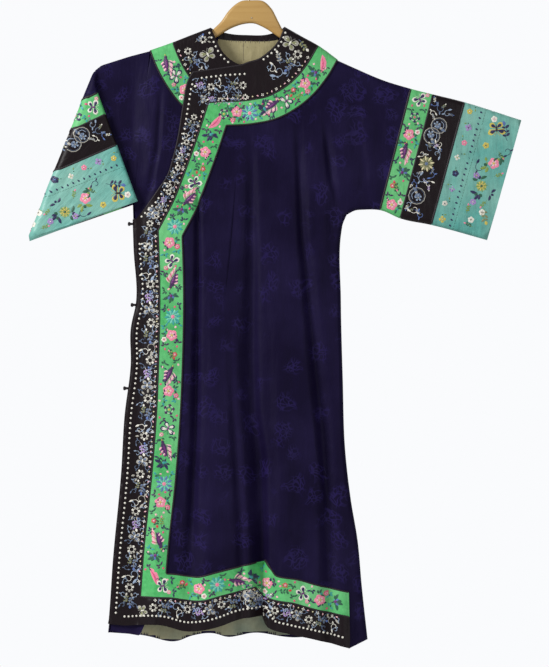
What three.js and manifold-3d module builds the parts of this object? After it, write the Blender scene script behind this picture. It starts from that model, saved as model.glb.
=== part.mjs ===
// Embroidered silk robe on a wooden hanger. Millimetres, +Z up, the front faces -Y.
// The origin is the inner top of the hanger's hook, where a rail carries it.
// Every cloth piece lies on one depth field: how far front and back stand off the plane y = 0.
import * as THREE from "three";
import { mergeVertices } from "three/addons/utils/BufferGeometryUtils.js";
import Module from "manifold-3d";

const wasm = await Module();
wasm.setup();

// Cloth
const SEAM = 0.3;
const CLOTH = 2;
const TRIM = 1.2;
const RIBBON_WIDTH = 50;
const UNDER_CLOTH = 1.5;
const UNDER_DROP = 4.8;
const DROP_AHEAD = 45;
const DROP_OVER = 40;
const UNDER_TRIM_BEHIND = 22;
const UNDER_REACH = 0.56;
const UNDERLAP_ROW = -0.035;
const LINING = 1.2;
const FACING_WIDTH = 13;
const ARMHOLE_GAP = 0.3;
const SIDE_GAP = 0.6;
const EDGE_STEPS = [1.5, 4.5, 10];
const EDGE_RADIUS = 10;
const ON_EDGE = 0.05;

// How far the cloth stands off the middle plane, by height on the body and in a sleeve
const FULLNESS = { top: -150, middle: -600, bottom: -1400, atTop: 5, atMiddle: 8, atBottom: 20, sleeve: 3 };
const FULL_FROM_EDGE = 70;
const FOLDS_FROM_EDGE = 35;

// Points across and up the panels, closer where folds are
const BODY_WIDTH = 440;
const SKIRT_HEIGHT = 900;
const CHEST_HEIGHT = 350;
const COLUMN_COUNT = 21;
const SKIRT_ROWS = 13;
const CHEST_ROWS = 6;
const CROWD_SAMPLES = 400;
const WRAP_STEPS = [0.12, 0.35, 0.65, 1];

// Sleeves
const CUFF_WIDTH = 126;
const BLACK_BAND = 68;
const GREEN_BAND = 48;
const FOLDED_RADIUS = 6;
const BEND_RADIUS = 7.5;
const BEND_SCORES = 4;
const ON_SCORE = 0.02;

// Where the body turns into each sleeve, as x and the width of the change
const RIGHT_ARM = { from: 190, over: 110 };
const LEFT_ARM = { from: -190, over: 55 };
const RING_STEPS = 4;

// Hanger
const WOOD_HALF = 6.2;
const WOOD_INSET = 2.6;
const WIRE_RADIUS = 2;
const HOOK_RADIUS = 23;
const HOOK_SEAT = { x: 0, top: -55, bottom: -73 };

// Outline points of the hung robe, as x and z
const SHOULDER_LEFT = [[-208, -167], [-160, -150], [-127, -137], [-80, -119]];
const SHOULDER_RIGHT = [[74, -117], [113, -139], [144, -156], [187, -187]];
const SLEEVE_RIGHT_TOP = [[187, -187], [227, -205], [284, -229], [340, -246], [452, -274], [572, -312]];
const SLEEVE_RIGHT_BOTTOM = [
  [205, -511], [222, -502], [242, -500], [275, -501], [319, -519], [382, -532], [500, -564],
];
const SIDE_LEFT = [
  [-244, -490], [-241, -583], [-236, -695], [-247, -750], [-247, -824],
  [-260, -933], [-267, -1050], [-284, -1231], [-294, -1369], [-296, -1388],
];
const SIDE_RIGHT = [
  [205, -511], [197, -530], [194, -547], [193, -690], [197, -858], [202, -1005],
  [214, -1110], [228, -1194], [237, -1292], [249, -1402],
];
const FRONT_HEM = [
  [-296, -1369], [-271, -1372], [-183, -1370], [-126, -1383], [-103, -1381], [-55, -1370],
  [-25, -1359], [27, -1352], [38, -1372], [82, -1387], [130, -1398], [210, -1419],
];
const BACK_HEM = [
  [-296, -1388], [-235, -1393], [-153, -1408], [-122, -1398], [-78, -1393], [-42, -1400],
  [2, -1391], [92, -1402], [139, -1400], [210, -1420], [249, -1402],
];
const FRONT_NECK = [
  [-80, -119], [-67, -147], [-57, -167], [-37, -187], [-17, -196], [-3, -191],
  [20, -184], [40, -170], [59, -150], [74, -117],
];
const BACK_NECK = [[-80, -119], [-43, -129], [-3, -132], [44, -130], [74, -117]];
const OVERLAP_EDGE = [
  [-17, -196], [-69, -204], [-118, -211], [-126, -224], [-139, -282], [-150, -350],
  [-160, -392], [-172, -429], [-192, -459], [-217, -495], [-237, -520],
];
const UNDERLAP_HEM = [[-310, -1388], [-232, -1394], [-214, -1356], [-75, -1356]];
const UNDERLAP_EDGE = [[-75, -900], [-20, -300]];

// Strip of the back that comes round to the front on the right: share of height, width
const SIDE_WRAP = [
  { share: 0, width: 39 },
  { share: 0.2, width: 24 },
  { share: 0.4, width: 8 },
  { share: 0.9, width: 7 },
  { share: 1, width: 0 },
];

// Middle line of the ribbon, from the right shoulder round the neck, down the flap and along the hem
const RIBBON_FRONT = [
  [194, -122], [164, -173], [144, -207], [118, -240], [84, -268], [47, -287], [10, -295],
  [-66, -300], [-87, -364], [-113, -436], [-134, -490], [-165, -550], [-162, -640],
  [-164, -824], [-168, -921], [-178, -1059], [-196, -1232], [-200, -1287], [-162, -1288],
  [-103, -1294], [-63, -1284], [-13, -1272], [24, -1264], [38, -1283], [101, -1300],
  [149, -1314], [211, -1328], [300, -1346],
];
const RIBBON_UNDER = [
  [-200, -110], [-183, -159], [-169, -194], [-145, -236], [-120, -266], [-60, -300],
];
const RIBBON_BACK = [
  [-200, -110], [-183, -159], [-145, -198], [-82, -228], [-8, -240], [65, -232], [124, -207],
  [164, -173], [194, -122],
];
// Mitres of the border: a line through two points, and its parts on either side
const MITRES = {
  neck: [[-84, -278], [-48, -322]],
  armpit: [[-190, -545], [-140, -553]],
  hem: [[-227, -1311], [-172, -1263]],
};

// Folds: run gives x, z, half width and how far the cloth stands out (or lies back, below zero)
const FRONT_FOLDS = [
  {
    name: "valley beside the ribbon",
    run: [
      [-107, -430, 8, 0], [-107, -620, 9, -6], [-110, -984, 11, -9], [-116, -1130, 14, -9],
      [-124, -1300, 18, -3], [-124, -1440, 20, -2],
    ],
  },
  {
    name: "ridge beside that valley",
    run: [
      [-70, -480, 20, 0], [-72, -900, 22, 5], [-78, -1200, 30, 8], [-82, -1440, 30, 9],
    ],
  },
  {
    name: "middle valley",
    run: [
      [4, -330, 12, 0], [6, -560, 16, -5], [5, -820, 22, -9], [6, -930, 24, -12],
      [24, -1020, 15, -16], [29, -1200, 13, -19], [31, -1440, 12, -20],
    ],
  },
  {
    name: "ridge right of the middle",
    run: [
      [60, -600, 22, 0], [70, -950, 24, 5], [82, -1440, 26, 8],
    ],
  },
  {
    name: "side valley",
    run: [
      [101, -290, 10, 0], [106, -450, 12, -5], [120, -633, 16, -7], [136, -800, 18, -8],
      [152, -950, 20, -9], [172, -1200, 22, -11], [176, -1440, 22, -8],
    ],
  },
  {
    name: "small ridge in the side valley",
    run: [
      [132, -969, 8, 0], [150, -1090, 8, 5], [170, -1221, 8, 0],
    ],
  },
  {
    name: "armpit drag",
    run: [
      [160, -330, 10, 0], [172, -430, 10, -5], [188, -500, 9, 0],
    ],
  },
  {
    name: "sleeve drag, right",
    run: [
      [215, -230, 14, 0], [235, -330, 16, -3.5], [240, -430, 16, -3], [236, -480, 10, 0],
    ],
  },
];
const BACK_FOLDS = [
  {
    name: "left back valley",
    run: [
      [-120, -420, 14, 0], [-126, -800, 18, -6], [-140, -1200, 22, -10], [-150, -1440, 24, -10],
    ],
  },
  {
    name: "left back ridge",
    run: [
      [-70, -560, 24, 0], [-78, -1000, 28, 5], [-86, -1440, 32, 8],
    ],
  },
  {
    name: "middle back valley",
    run: [
      [-4, -500, 16, 0], [0, -900, 20, -7], [-8, -1250, 22, -12], [-12, -1440, 22, -12],
    ],
  },
  {
    name: "right back ridge",
    run: [
      [70, -520, 24, 0], [78, -1000, 28, 5], [88, -1440, 30, 8],
    ],
  },
  {
    name: "right back valley",
    run: [
      [140, -470, 12, 0], [140, -800, 15, -5], [160, -1200, 20, -9], [170, -1440, 20, -9],
    ],
  },
  {
    name: "sleeve drag, right back",
    run: [
      [220, -240, 14, 0], [240, -340, 16, -3.5], [238, -470, 10, 0],
    ],
  },
];
// Where columns of points crowd: share of the width, how narrow, how strong
const COLUMN_CROWDS = [
  { share: 0.33, spread: 0.05, strength: 1.2 },
  { share: 0.6, spread: 0.06, strength: 2.4 },
  { share: 0.86, spread: 0.06, strength: 1 },
];
const KNOTS = { knot_top: -530, knot_middle: -700, knot_low: -875 };
const KNOT_RADIUS = 4.3;
const KNOT_CORD = 1.5;
const KNOT_REACH = 2;

const COLOURS = {
  navy: "#221c45",
  black: "#1a1216",
  green: "#4fb368",
  turquoise: "#5fb5a3",
  beige: "#b5a97d",
  greyGreen: "#5e6f66",
  wood: "#c49a55",
  steel: "#b9bcc0",
};

const mix = (a, b, t) => a + (b - a) * t;
const mixPoint = (a, b, t) => a.map((value, i) => mix(value, b[i], t));
const clamp = (value) => Math.min(1, Math.max(0, value));
const smooth = (value) => clamp(value) ** 2 * (3 - 2 * clamp(value));

// The nearest point of a line of points: its distance, its segment and its share of that segment
function nearest(line, x, z) {
  let best = { distance: Infinity, index: 0, share: 0 };
  for (let i = 0; i + 1 < line.length; i += 1) {
    const [ax, az] = line[i];
    const [bx, bz] = line[i + 1];
    const length = (bx - ax) ** 2 + (bz - az) ** 2;
    const share = clamp(((x - ax) * (bx - ax) + (z - az) * (bz - az)) / length);
    const distance = Math.hypot(x - mix(ax, bx, share), z - mix(az, bz, share));
    if (distance < best.distance) best = { distance, index: i, share };
  }
  return best;
}

// Looks a value up in a line of points: axis 0 gives z from x, axis 1 gives x from z
function lookUp(line, key, axis) {
  const value = 1 - axis;
  for (let i = 0; i + 1 < line.length; i += 1) {
    const a = line[i];
    const b = line[i + 1];
    const share = (key - a[axis]) / (b[axis] - a[axis]);
    if (share >= 0 && share <= 1) return mix(a[value], b[value], share);
  }
  const last = line[line.length - 1];
  return Math.abs(key - line[0][axis]) < Math.abs(key - last[axis]) ? line[0][value] : last[value];
}

function lengthOf(line) {
  return line.slice(1).reduce((sum, p, i) => sum + Math.hypot(p[0] - line[i][0], p[1] - line[i][1]), 0);
}

// The point at a distance along a line
function along(line, distance) {
  let left = distance;
  for (let i = 0; i + 1 < line.length; i += 1) {
    const step = Math.hypot(line[i + 1][0] - line[i][0], line[i + 1][1] - line[i][1]);
    if (left <= step) return mixPoint(line[i], line[i + 1], left / step);
    left -= step;
  }
  return line[line.length - 1];
}

// A line moved sideways, to its right for a positive distance, with mitred corners
function offsetLine(line, distance) {
  const normals = line.slice(1).map((p, i) => {
    const dx = p[0] - line[i][0];
    const dz = p[1] - line[i][1];
    const length = Math.hypot(dx, dz);
    return [dz / length, -dx / length];
  });
  return line.map((p, i) => {
    const before = normals[Math.max(0, i - 1)];
    const after = normals[Math.min(normals.length - 1, i)];
    const scale = distance / (1 + before[0] * after[0] + before[1] * after[1]);
    return [p[0] + (before[0] + after[0]) * scale, p[1] + (before[1] + after[1]) * scale];
  });
}

const band = (line, half) => [...offsetLine(line, half), ...offsetLine(line, -half).reverse()];

// The left sleeve is folded forward over a slanted line. Its pieces are laid out flat first.
const FOLD_TOP = [-323, -201];
const FOLD_BOTTOM = [-466, -564];
const FOLD_LENGTH = Math.hypot(FOLD_BOTTOM[0] - FOLD_TOP[0], FOLD_BOTTOM[1] - FOLD_TOP[1]);
const FOLD_OUT = [
  (FOLD_BOTTOM[1] - FOLD_TOP[1]) / FOLD_LENGTH,
  -(FOLD_BOTTOM[0] - FOLD_TOP[0]) / FOLD_LENGTH,
];
const BEND_START = FOLD_TOP.map((value, i) => value - FOLD_OUT[i] * (BEND_RADIUS + FOLDED_RADIUS));
const BEND_LENGTH = Math.PI * BEND_RADIUS;
const pastBend = (x, z) => (x - BEND_START[0]) * FOLD_OUT[0] + (z - BEND_START[1]) * FOLD_OUT[1];

// Where a point of the folded flap lies when the sleeve is laid out flat
function unfold([x, z]) {
  const move = BEND_LENGTH - 2 * pastBend(x, z);
  return [x + FOLD_OUT[0] * move, z + FOLD_OUT[1] * move];
}

// Folds a flat point over: onto the bend's arc, or past it onto the flap in front
function bend([x, y, z]) {
  const past = pastBend(x, z);
  if (past <= 0) return [x, y, z];
  const angle = Math.min(past / BEND_RADIUS, Math.PI);
  const radius = BEND_RADIUS + y;
  const reach = past > BEND_LENGTH ? BEND_LENGTH - past : radius * Math.sin(angle);
  const move = reach - past;
  return [x + FOLD_OUT[0] * move, radius * Math.cos(angle) - BEND_RADIUS, z + FOLD_OUT[1] * move];
}

const SLEEVE_LEFT_TOP = [
  [-208, -167], [-250, -178], [-310, -197], unfold([-319, -249]), unfold([-233, -483]),
];
const SLEEVE_LEFT_BOTTOM = [[-244, -490], unfold(FOLD_BOTTOM)];
const CLOSED_EDGES = [
  SIDE_LEFT, SIDE_RIGHT, SHOULDER_LEFT, SHOULDER_RIGHT,
  SLEEVE_LEFT_TOP, SLEEVE_LEFT_BOTTOM, SLEEVE_RIGHT_TOP, SLEEVE_RIGHT_BOTTOM,
];
const edgeDistance = (x, z) => Math.min(...CLOSED_EDGES.map((line) => nearest(line, x, z).distance));

function foldDepth(fold, x, z) {
  const { distance, index, share } = nearest(fold.run, x, z);
  const [, , width, depth] = mixPoint(fold.run[index], fold.run[index + 1], share);
  return depth * Math.exp(-((distance / width) ** 2));
}

// How flat the left sleeve lies, from 0 at the hanger's end to 1 where it is folded over
const flattening = (x) => smooth((LEFT_ARM.from - x) / LEFT_ARM.over);

// How full the cloth stands: more towards the hem, less in the sleeves, flat in the folded one
function fullness(x, z) {
  const { top, middle, bottom, atTop, atMiddle, atBottom, sleeve } = FULLNESS;
  const upper = mix(atTop, atMiddle, clamp((top - z) / (top - middle)));
  const lower = mix(atMiddle, atBottom, clamp((middle - z) / (middle - bottom)));
  const body = z > middle ? upper : lower;
  if (x > 0) return mix(body, sleeve, smooth((x - RIGHT_ARM.from) / RIGHT_ARM.over));
  return mix(body, 0, flattening(x));
}

const edgeRadius = (x) => mix(EDGE_RADIUS, FOLDED_RADIUS, flattening(x));

function depthAt(folds, x, z) {
  const distance = edgeDistance(x, z);
  const radius = edgeRadius(x);
  const round = Math.sqrt(radius ** 2 - (radius - Math.min(distance, radius)) ** 2);
  const wave = folds.reduce((sum, fold) => sum + foldDepth(fold, x, z), 0);
  const full = fullness(x, z) * smooth(distance / FULL_FROM_EDGE);
  return round + full + wave * smooth(distance / FOLDS_FROM_EDGE);
}

const FRONT = { sign: -1, folds: FRONT_FOLDS, hem: FRONT_HEM };
const BACK = { sign: 1, folds: BACK_FOLDS, hem: BACK_HEM };

// Shares from 0 to 1 with a few close steps at the ends that are rounded
function shares(length, count, first, last, crowds = []) {
  const crowding = (t, c) => c.strength * Math.exp(-(((t - c.share) / c.spread) ** 2));
  const weight = (t) => 1 + crowds.reduce((sum, crowd) => sum + crowding(t, crowd), 0);
  const steps = EDGE_STEPS.map((step) => step / length);
  const inset = steps[steps.length - 1];
  const start = first ? inset : 0;
  const end = last ? 1 - inset : 1;
  const samples = CROWD_SAMPLES;
  const sums = [0];
  for (let i = 0; i < samples; i += 1) {
    sums.push(sums[i] + weight(mix(start, end, (i + 0.5) / samples)));
  }
  const middle = [];
  for (let i = 0; i <= count; i += 1) {
    const wanted = (sums[samples] * i) / count;
    const index = Math.min(samples - 1, sums.findIndex((sum) => sum >= wanted - 1e-9));
    middle.push(mix(start, end, index / samples));
  }
  middle[count] = end;
  const head = first ? [0, ...steps.slice(0, -1)] : [];
  const tail = last ? [...steps.slice(0, -1).map((step) => 1 - step).reverse(), 1] : [];
  return [...head, ...middle, ...tail];
}

function wrapWidth(share) {
  return lookUp(SIDE_WRAP.map((row) => [row.share, row.width]), share, 0);
}

// A place on the body panels: u runs from left to right, v from hem (0) to armpits (1) to shoulders (2)
function bodyPlace(hem, u, v, wrapped) {
  const low = Math.min(v, 1);
  const high = Math.max(v - 1, 0);
  const pitLeft = SIDE_LEFT[0];
  const pitRight = SIDE_RIGHT[0];
  const hemLeft = hem[0][1];
  const cornerX = SIDE_RIGHT[SIDE_RIGHT.length - 1][0];
  const hemRight = lookUp(hem, cornerX, 0);
  const leftLow = lookUp(SIDE_LEFT, mix(hemLeft, pitLeft[1], low), 1);
  const rightEdge = lookUp(SIDE_RIGHT, mix(hemRight, pitRight[1], low), 1);
  const rightLow = wrapped ? rightEdge : rightEdge - wrapWidth(low) - SIDE_GAP;
  const left = mix(leftLow, SHOULDER_LEFT[0][0], high);
  const right = mix(rightLow, SHOULDER_RIGHT[3][0], high);
  const hemX = mix(hem[0][0], wrapped ? cornerX : cornerX - wrapWidth(0), u);
  const topX = mix(SHOULDER_LEFT[0][0], SHOULDER_RIGHT[3][0], u);
  const pitZ = mix(pitLeft[1], pitRight[1], u);
  const topZ = lookUp([...SHOULDER_LEFT, ...SHOULDER_RIGHT], topX, 0);
  const z = v <= 1 ? mix(lookUp(hem, hemX, 0), pitZ, low) : mix(pitZ, topZ, high);
  return [mix(left, right, u), z];
}

// Sheets hold points on the outer face, outward directions and cells of three or four points
class Sheet {
  constructor() {
    this.points = [];
    this.cells = [];
    this.pins = [];
  }

  // Adds a point. Pins are directions that the wall's thickness must not run along there.
  add(x, y, z, pins = []) {
    this.points.push([x, y, z]);
    this.pins.push(pins);
    return this.points.length - 1;
  }

  cell(...corners) {
    const kept = corners.filter((corner, i) => corner !== corners[(i + 1) % corners.length]);
    if (kept.length > 2) this.cells.push(kept);
  }

  // Mean outward direction of the cells round each point
  directions() {
    const sums = this.points.map(() => new THREE.Vector3());
    const corner = (i) => new THREE.Vector3(...this.points[i]);
    for (const cell of this.cells) {
      const across = corner(cell[2]).sub(corner(cell[0]));
      const other = corner(cell[cell.length === 4 ? 3 : 2]).sub(corner(cell[1]));
      const face = across.cross(other);
      for (const i of cell) sums[i].add(face);
    }
    return sums.map((sum, i) => {
      sum.normalize();
      for (const pin of this.pins[i]) sum.addScaledVector(pin, -sum.dot(pin));
      return sum.normalize();
    });
  }

  // A closed wall between two heights over the sheet
  wall(outer, inner, cells = this.cells, drop = () => 0) {
    const directions = this.directions();
    const used = [...new Set(cells.flat())];
    const index = new Map(used.map((point, i) => [point, i]));
    const at = (height) => used.map((i) => {
      const [x, y, z] = this.points[i];
      const lift = height - drop(x, z);
      return [x + directions[i].x * lift, y + directions[i].y * lift, z + directions[i].z * lift];
    });
    const points = [...at(outer), ...at(inner)];
    const triangles = [];
    const open = new Map();
    for (const cell of cells) {
      const c = cell.map((i) => index.get(i));
      for (let i = 2; i < c.length; i += 1) {
        triangles.push([c[0], c[i - 1], c[i]]);
        triangles.push([c[0] + used.length, c[i] + used.length, c[i - 1] + used.length]);
      }
      c.forEach((from, i) => {
        const to = c[(i + 1) % c.length];
        if (!open.delete(to + "," + from)) open.set(from + "," + to, [from, to]);
      });
    }
    for (const [from, to] of open.values()) {
      triangles.push([from, from + used.length, to + used.length]);
      triangles.push([from, to + used.length, to]);
    }
    return { points, triangles };
  }
}

function solidFrom({ points, triangles }) {
  const mesh = new wasm.Mesh({
    numProp: 3,
    vertProperties: new Float32Array(points.flat()),
    triVerts: new Uint32Array(triangles.flat()),
  });
  return new wasm.Manifold(mesh);
}

function solidFromGeometry(geometry) {
  const plain = new THREE.BufferGeometry().setAttribute("position", geometry.getAttribute("position"));
  if (geometry.index) plain.setIndex(geometry.index);
  const merged = mergeVertices(plain, 1e-3);
  const mesh = new wasm.Mesh({
    numProp: 3,
    vertProperties: new Float32Array(merged.getAttribute("position").array),
    triVerts: new Uint32Array(merged.index.array),
  });
  return new wasm.Manifold(mesh);
}

// Places beyond the robe on each side, for blocks that cut it
const FAR = { left: -400, right: 700, above: -60, front: -150, back: 150 };

// A straight block through the whole robe over an outline drawn from the front
function prism(outline, from = FAR.front, to = FAR.back) {
  const shape = new THREE.Shape(outline.map(([x, z]) => new THREE.Vector2(x, z)));
  const geometry = new THREE.ExtrudeGeometry(shape, { depth: to - from, bevelEnabled: false, steps: 1 });
  geometry.rotateX(Math.PI / 2);
  geometry.translate(0, to, 0);
  return solidFromGeometry(geometry);
}

// The largest body of a solid, without crumbs that a cut leaves
function largest(solid) {
  const bodies = solid.decompose();
  return bodies.reduce((best, body) => (body.volume() > best.volume() ? body : best));
}

// Cuts a solid along a mitre line, half a seam off it. Up is the side of the line's left normal.
function cutAtMitre(solid, [a, b], up) {
  const length = Math.hypot(b[0] - a[0], b[1] - a[1]);
  const side = up ? 1 : -1;
  const normal = [(side * -(b[1] - a[1])) / length, 0, (side * (b[0] - a[0])) / length];
  const offset = normal[0] * a[0] + normal[2] * a[1] + SEAM / 2;
  return solid.trimByPlane(normal, offset);
}

const group = new THREE.Group();
group.name = "robe_on_hanger";

function addMesh(name, solid, colour, roughness, metalness = 0) {
  const mesh = solid.getMesh();
  const geometry = new THREE.BufferGeometry();
  geometry.setAttribute("position", new THREE.BufferAttribute(new Float32Array(mesh.vertProperties), 3));
  geometry.setIndex(new THREE.BufferAttribute(new Uint32Array(mesh.triVerts), 1));
  geometry.computeVertexNormals();
  const material = new THREE.MeshStandardMaterial({ color: colour, roughness, metalness });
  material.name = name + "_material";
  const part = new THREE.Mesh(geometry, material);
  part.name = name;
  group.add(part);
}

// Body panels

const ACROSS = new THREE.Vector3(0, 1, 0);

function armholePin(bottom, top) {
  return new THREE.Vector3(top[1] - bottom[1], 0, bottom[0] - top[0]).normalize();
}

const PIN_LEFT = armholePin(SIDE_LEFT[0], SHOULDER_LEFT[0]);
const PIN_RIGHT = armholePin(SIDE_RIGHT[0], SHOULDER_RIGHT[3]);

function bodyPoint(sheet, side, x, z, u, v) {
  const depth = depthAt(side.folds, x, z);
  const pins = edgeDistance(x, z) < ON_EDGE ? [ACROSS] : [];
  if (v >= 1 && u === 0) pins.push(PIN_LEFT);
  if (v >= 1 && u === 1) pins.push(PIN_RIGHT);
  return sheet.add(x, side.sign * (SEAM / 2 + depth), z, pins);
}

function bodySheet(side, columns, rows, wrapped) {
  const sheet = new Sheet();
  const grid = rows.map((v) => columns.map((u) => {
    const [x, z] = bodyPlace(side.hem, u, v, wrapped);
    return bodyPoint(sheet, side, x, z, u, v);
  }));
  for (let j = 0; j + 1 < rows.length; j += 1) {
    for (let i = 0; i + 1 < columns.length; i += 1) {
      const corners = [grid[j][i], grid[j][i + 1], grid[j + 1][i + 1], grid[j + 1][i]];
      sheet.cell(...(side.sign < 0 ? corners : corners.reverse()));
    }
  }
  return { sheet, grid };
}

// Moves the nearest column of points onto each neck point
function throughNeck(columns) {
  const width = SHOULDER_RIGHT[3][0] - SHOULDER_LEFT[0][0];
  const result = [...columns];
  for (const [x] of [SHOULDER_LEFT[3], SHOULDER_RIGHT[0]]) {
    const wanted = (x - SHOULDER_LEFT[0][0]) / width;
    const misses = result.map((u) => Math.abs(u - wanted));
    result[misses.indexOf(Math.min(...misses))] = wanted;
  }
  return result;
}

const COLUMNS = throughNeck(shares(BODY_WIDTH, COLUMN_COUNT, true, true, COLUMN_CROWDS));
const LOW_ROWS = shares(SKIRT_HEIGHT, SKIRT_ROWS, false, false);
const HIGH_ROWS = shares(CHEST_HEIGHT, CHEST_ROWS, false, true).map((share) => 1 + share).slice(1);
const ROWS = [...LOW_ROWS, ...HIGH_ROWS];

const front = bodySheet(FRONT, COLUMNS, ROWS, false);
const back = bodySheet(BACK, COLUMNS, ROWS, true);

// The back's side strip runs round the right edge onto the front, from the armpit to the hem
function addSideWrap(target) {
  let below = null;
  LOW_ROWS.forEach((v, j) => {
    const edge = target.grid[j][COLUMNS.length - 1];
    const row = [edge];
    for (const step of WRAP_STEPS) {
      if (v === 1) {
        row.push(edge);
        continue;
      }
      const [seamX, seamZ] = bodyPlace(FRONT_HEM, 1, v, false);
      const [x, z] = mixPoint(bodyPlace(BACK_HEM, 1, v, true), [seamX + SIDE_GAP, seamZ], step);
      row.push(target.sheet.add(x, -SEAM / 2 - depthAt(FRONT_FOLDS, x, z), z));
    }
    if (below) {
      for (let i = 0; i < WRAP_STEPS.length; i += 1) {
        target.sheet.cell(below[i + 1], below[i], row[i], row[i + 1]);
      }
    }
    below = row;
  });
}
addSideWrap(back);

const TRIM_LOW = SEAM;
const TRIM_HIGH = SEAM + TRIM;
const HALF_RIBBON = RIBBON_WIDTH / 2 - SEAM / 2;
const HALF_BORDER = RIBBON_WIDTH / 2 + SEAM / 2;

// Closes a neck line into an outline that is open to above
function neckOutline(line) {
  const [left, right] = [line[0][0], line[line.length - 1][0]];
  return [...line, [right, FAR.above], [left, FAR.above]];
}

const OVERLAP_END = [-270, -530];
const frontNeckCut = prism(neckOutline(FRONT_NECK), FAR.front, 0);
const backNeckCut = prism(neckOutline(BACK_NECK), 0, FAR.back);
const beyondOverlap = prism([
  ...OVERLAP_EDGE, OVERLAP_END, [FAR.left, OVERLAP_END[1]],
  [FAR.left, FAR.above], [OVERLAP_EDGE[0][0], FAR.above],
]);

const frontWall = solidFrom(front.sheet.wall(0, -CLOTH));
const outerFront = largest(frontWall.subtract(frontNeckCut).subtract(beyondOverlap));
addMesh("front_outer", outerFront, COLOURS.navy, 0.6);

const backWall = largest(solidFrom(back.sheet.wall(0, -CLOTH)).subtract(backNeckCut));
addMesh("back", backWall, COLOURS.navy, 0.6);

// Borders of the outer front
const frontTrim = solidFrom(front.sheet.wall(TRIM_HIGH, TRIM_LOW))
  .subtract(frontNeckCut).subtract(beyondOverlap);
const FIELD_CORNER = [FAR.right, -1380];
const navyField = prism([
  ...offsetLine(RIBBON_FRONT, HALF_BORDER), FIELD_CORNER, [FAR.right, FAR.above],
]);
const borders = {
  black: frontTrim.subtract(navyField),
  green: frontTrim.intersect(prism(band(RIBBON_FRONT, HALF_RIBBON))),
};
for (const [name, border] of Object.entries(borders)) {
  const belowNeck = cutAtMitre(border, MITRES.neck, false);
  const belowPit = cutAtMitre(belowNeck, MITRES.armpit, false);
  const roughness = name === "black" ? 0.5 : 0.45;
  addMesh(name + "_yoke", largest(cutAtMitre(border, MITRES.neck, true)), COLOURS[name], roughness);
  addMesh(name + "_flap", largest(cutAtMitre(belowNeck, MITRES.armpit, true)), COLOURS[name], roughness);
  addMesh(name + "_side", largest(cutAtMitre(belowPit, MITRES.hem, true)), COLOURS[name], roughness);
  addMesh(name + "_hem", largest(cutAtMitre(belowPit, MITRES.hem, false)), COLOURS[name], roughness);
}

// Under front, which drops away behind the outer front
const UNDER_COLUMNS = COLUMNS.filter((u) => u < UNDER_REACH);
const under = bodySheet(FRONT, UNDER_COLUMNS, [UNDERLAP_ROW, ...ROWS], false);

// Signed distance behind the overlap's edge, above zero where the outer front covers the cloth
function behindOverlap(x, z) {
  const { distance } = nearest(OVERLAP_EDGE, x, z);
  const upperRun = OVERLAP_EDGE.slice(0, 3);
  const lowerRun = OVERLAP_EDGE.slice(2);
  const [cornerX, cornerZ] = lowerRun[0];
  const endZ = lowerRun[lowerRun.length - 1][1];
  const edgeX = z > cornerZ ? Infinity : lookUp(lowerRun, z, 1);
  const covered = z < endZ || x > edgeX || (z <= lookUp(upperRun, x, 0) && x > cornerX);
  return covered ? distance : -distance;
}
const underDrop = (x, z) => UNDER_DROP * smooth((behindOverlap(x, z) + DROP_AHEAD) / DROP_OVER);

const UNDER_CORNER = [-10, -197];
const UNDER_NECK = [...FRONT_NECK.slice(0, 4), [-17, -199], [20, -202]];
const underArea = prism([
  ...UNDERLAP_HEM, ...UNDERLAP_EDGE, UNDER_CORNER, [UNDER_CORNER[0], FAR.above],
  [FAR.left, FAR.above], [FAR.left, UNDERLAP_HEM[0][1]],
]);
const underNeckCut = prism(neckOutline(UNDER_NECK), FAR.front, 0);
const underWall = solidFrom(under.sheet.wall(0, -UNDER_CLOTH, under.sheet.cells, underDrop));
const underFront = largest(underWall.intersect(underArea).subtract(underNeckCut));
addMesh("front_under", underFront, COLOURS.navy, 0.6);

const UNDER_TRIM_EDGE = OVERLAP_EDGE.slice(0, 8);
const underTrimArea = prism([
  ...offsetLine(UNDER_TRIM_EDGE, -UNDER_TRIM_BEHIND), [FAR.left, UNDER_TRIM_EDGE[7][1]],
  [FAR.left, FAR.above], [UNDER_CORNER[0], FAR.above],
]);
const underTrim = solidFrom(under.sheet.wall(TRIM_HIGH, TRIM_LOW, under.sheet.cells, underDrop))
  .intersect(underTrimArea).subtract(underNeckCut);
const UNDER_INSIDE_CORNER = [60, -330];
const underInside = prism([
  ...offsetLine(RIBBON_UNDER, -HALF_BORDER), UNDER_INSIDE_CORNER, [UNDER_INSIDE_CORNER[0], FAR.above],
]);
const underRibbon = underTrim.intersect(prism(band(RIBBON_UNDER, HALF_RIBBON)));
addMesh("green_under", largest(underRibbon), COLOURS.green, 0.45);
addMesh("black_under", largest(underTrim.intersect(underInside)), COLOURS.black, 0.5);

// Border round the back of the neck, its facing and the linings that show
const BACK_TRIM_LOW = -420;
const BACK_INSIDE_HALF = 160;
const backTrimArea = prism([
  [FAR.left, FAR.above], [FAR.right, FAR.above], [FAR.right, BACK_TRIM_LOW], [FAR.left, BACK_TRIM_LOW],
], 0, FAR.back);
const backTrim = solidFrom(back.sheet.wall(TRIM_HIGH, TRIM_LOW))
  .intersect(backTrimArea).subtract(backNeckCut);
const backInside = prism([
  ...offsetLine(RIBBON_BACK, -HALF_BORDER),
  [BACK_INSIDE_HALF, FAR.above], [-BACK_INSIDE_HALF, FAR.above],
]);
const backRibbon = backTrim.intersect(prism(band(RIBBON_BACK, HALF_RIBBON)));
addMesh("green_back", largest(backRibbon), COLOURS.green, 0.45);
addMesh("black_back", largest(backTrim.intersect(backInside)), COLOURS.black, 0.5);

const insideLayer = solidFrom(back.sheet.wall(-CLOTH - SEAM, -CLOTH - SEAM - LINING));

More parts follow.
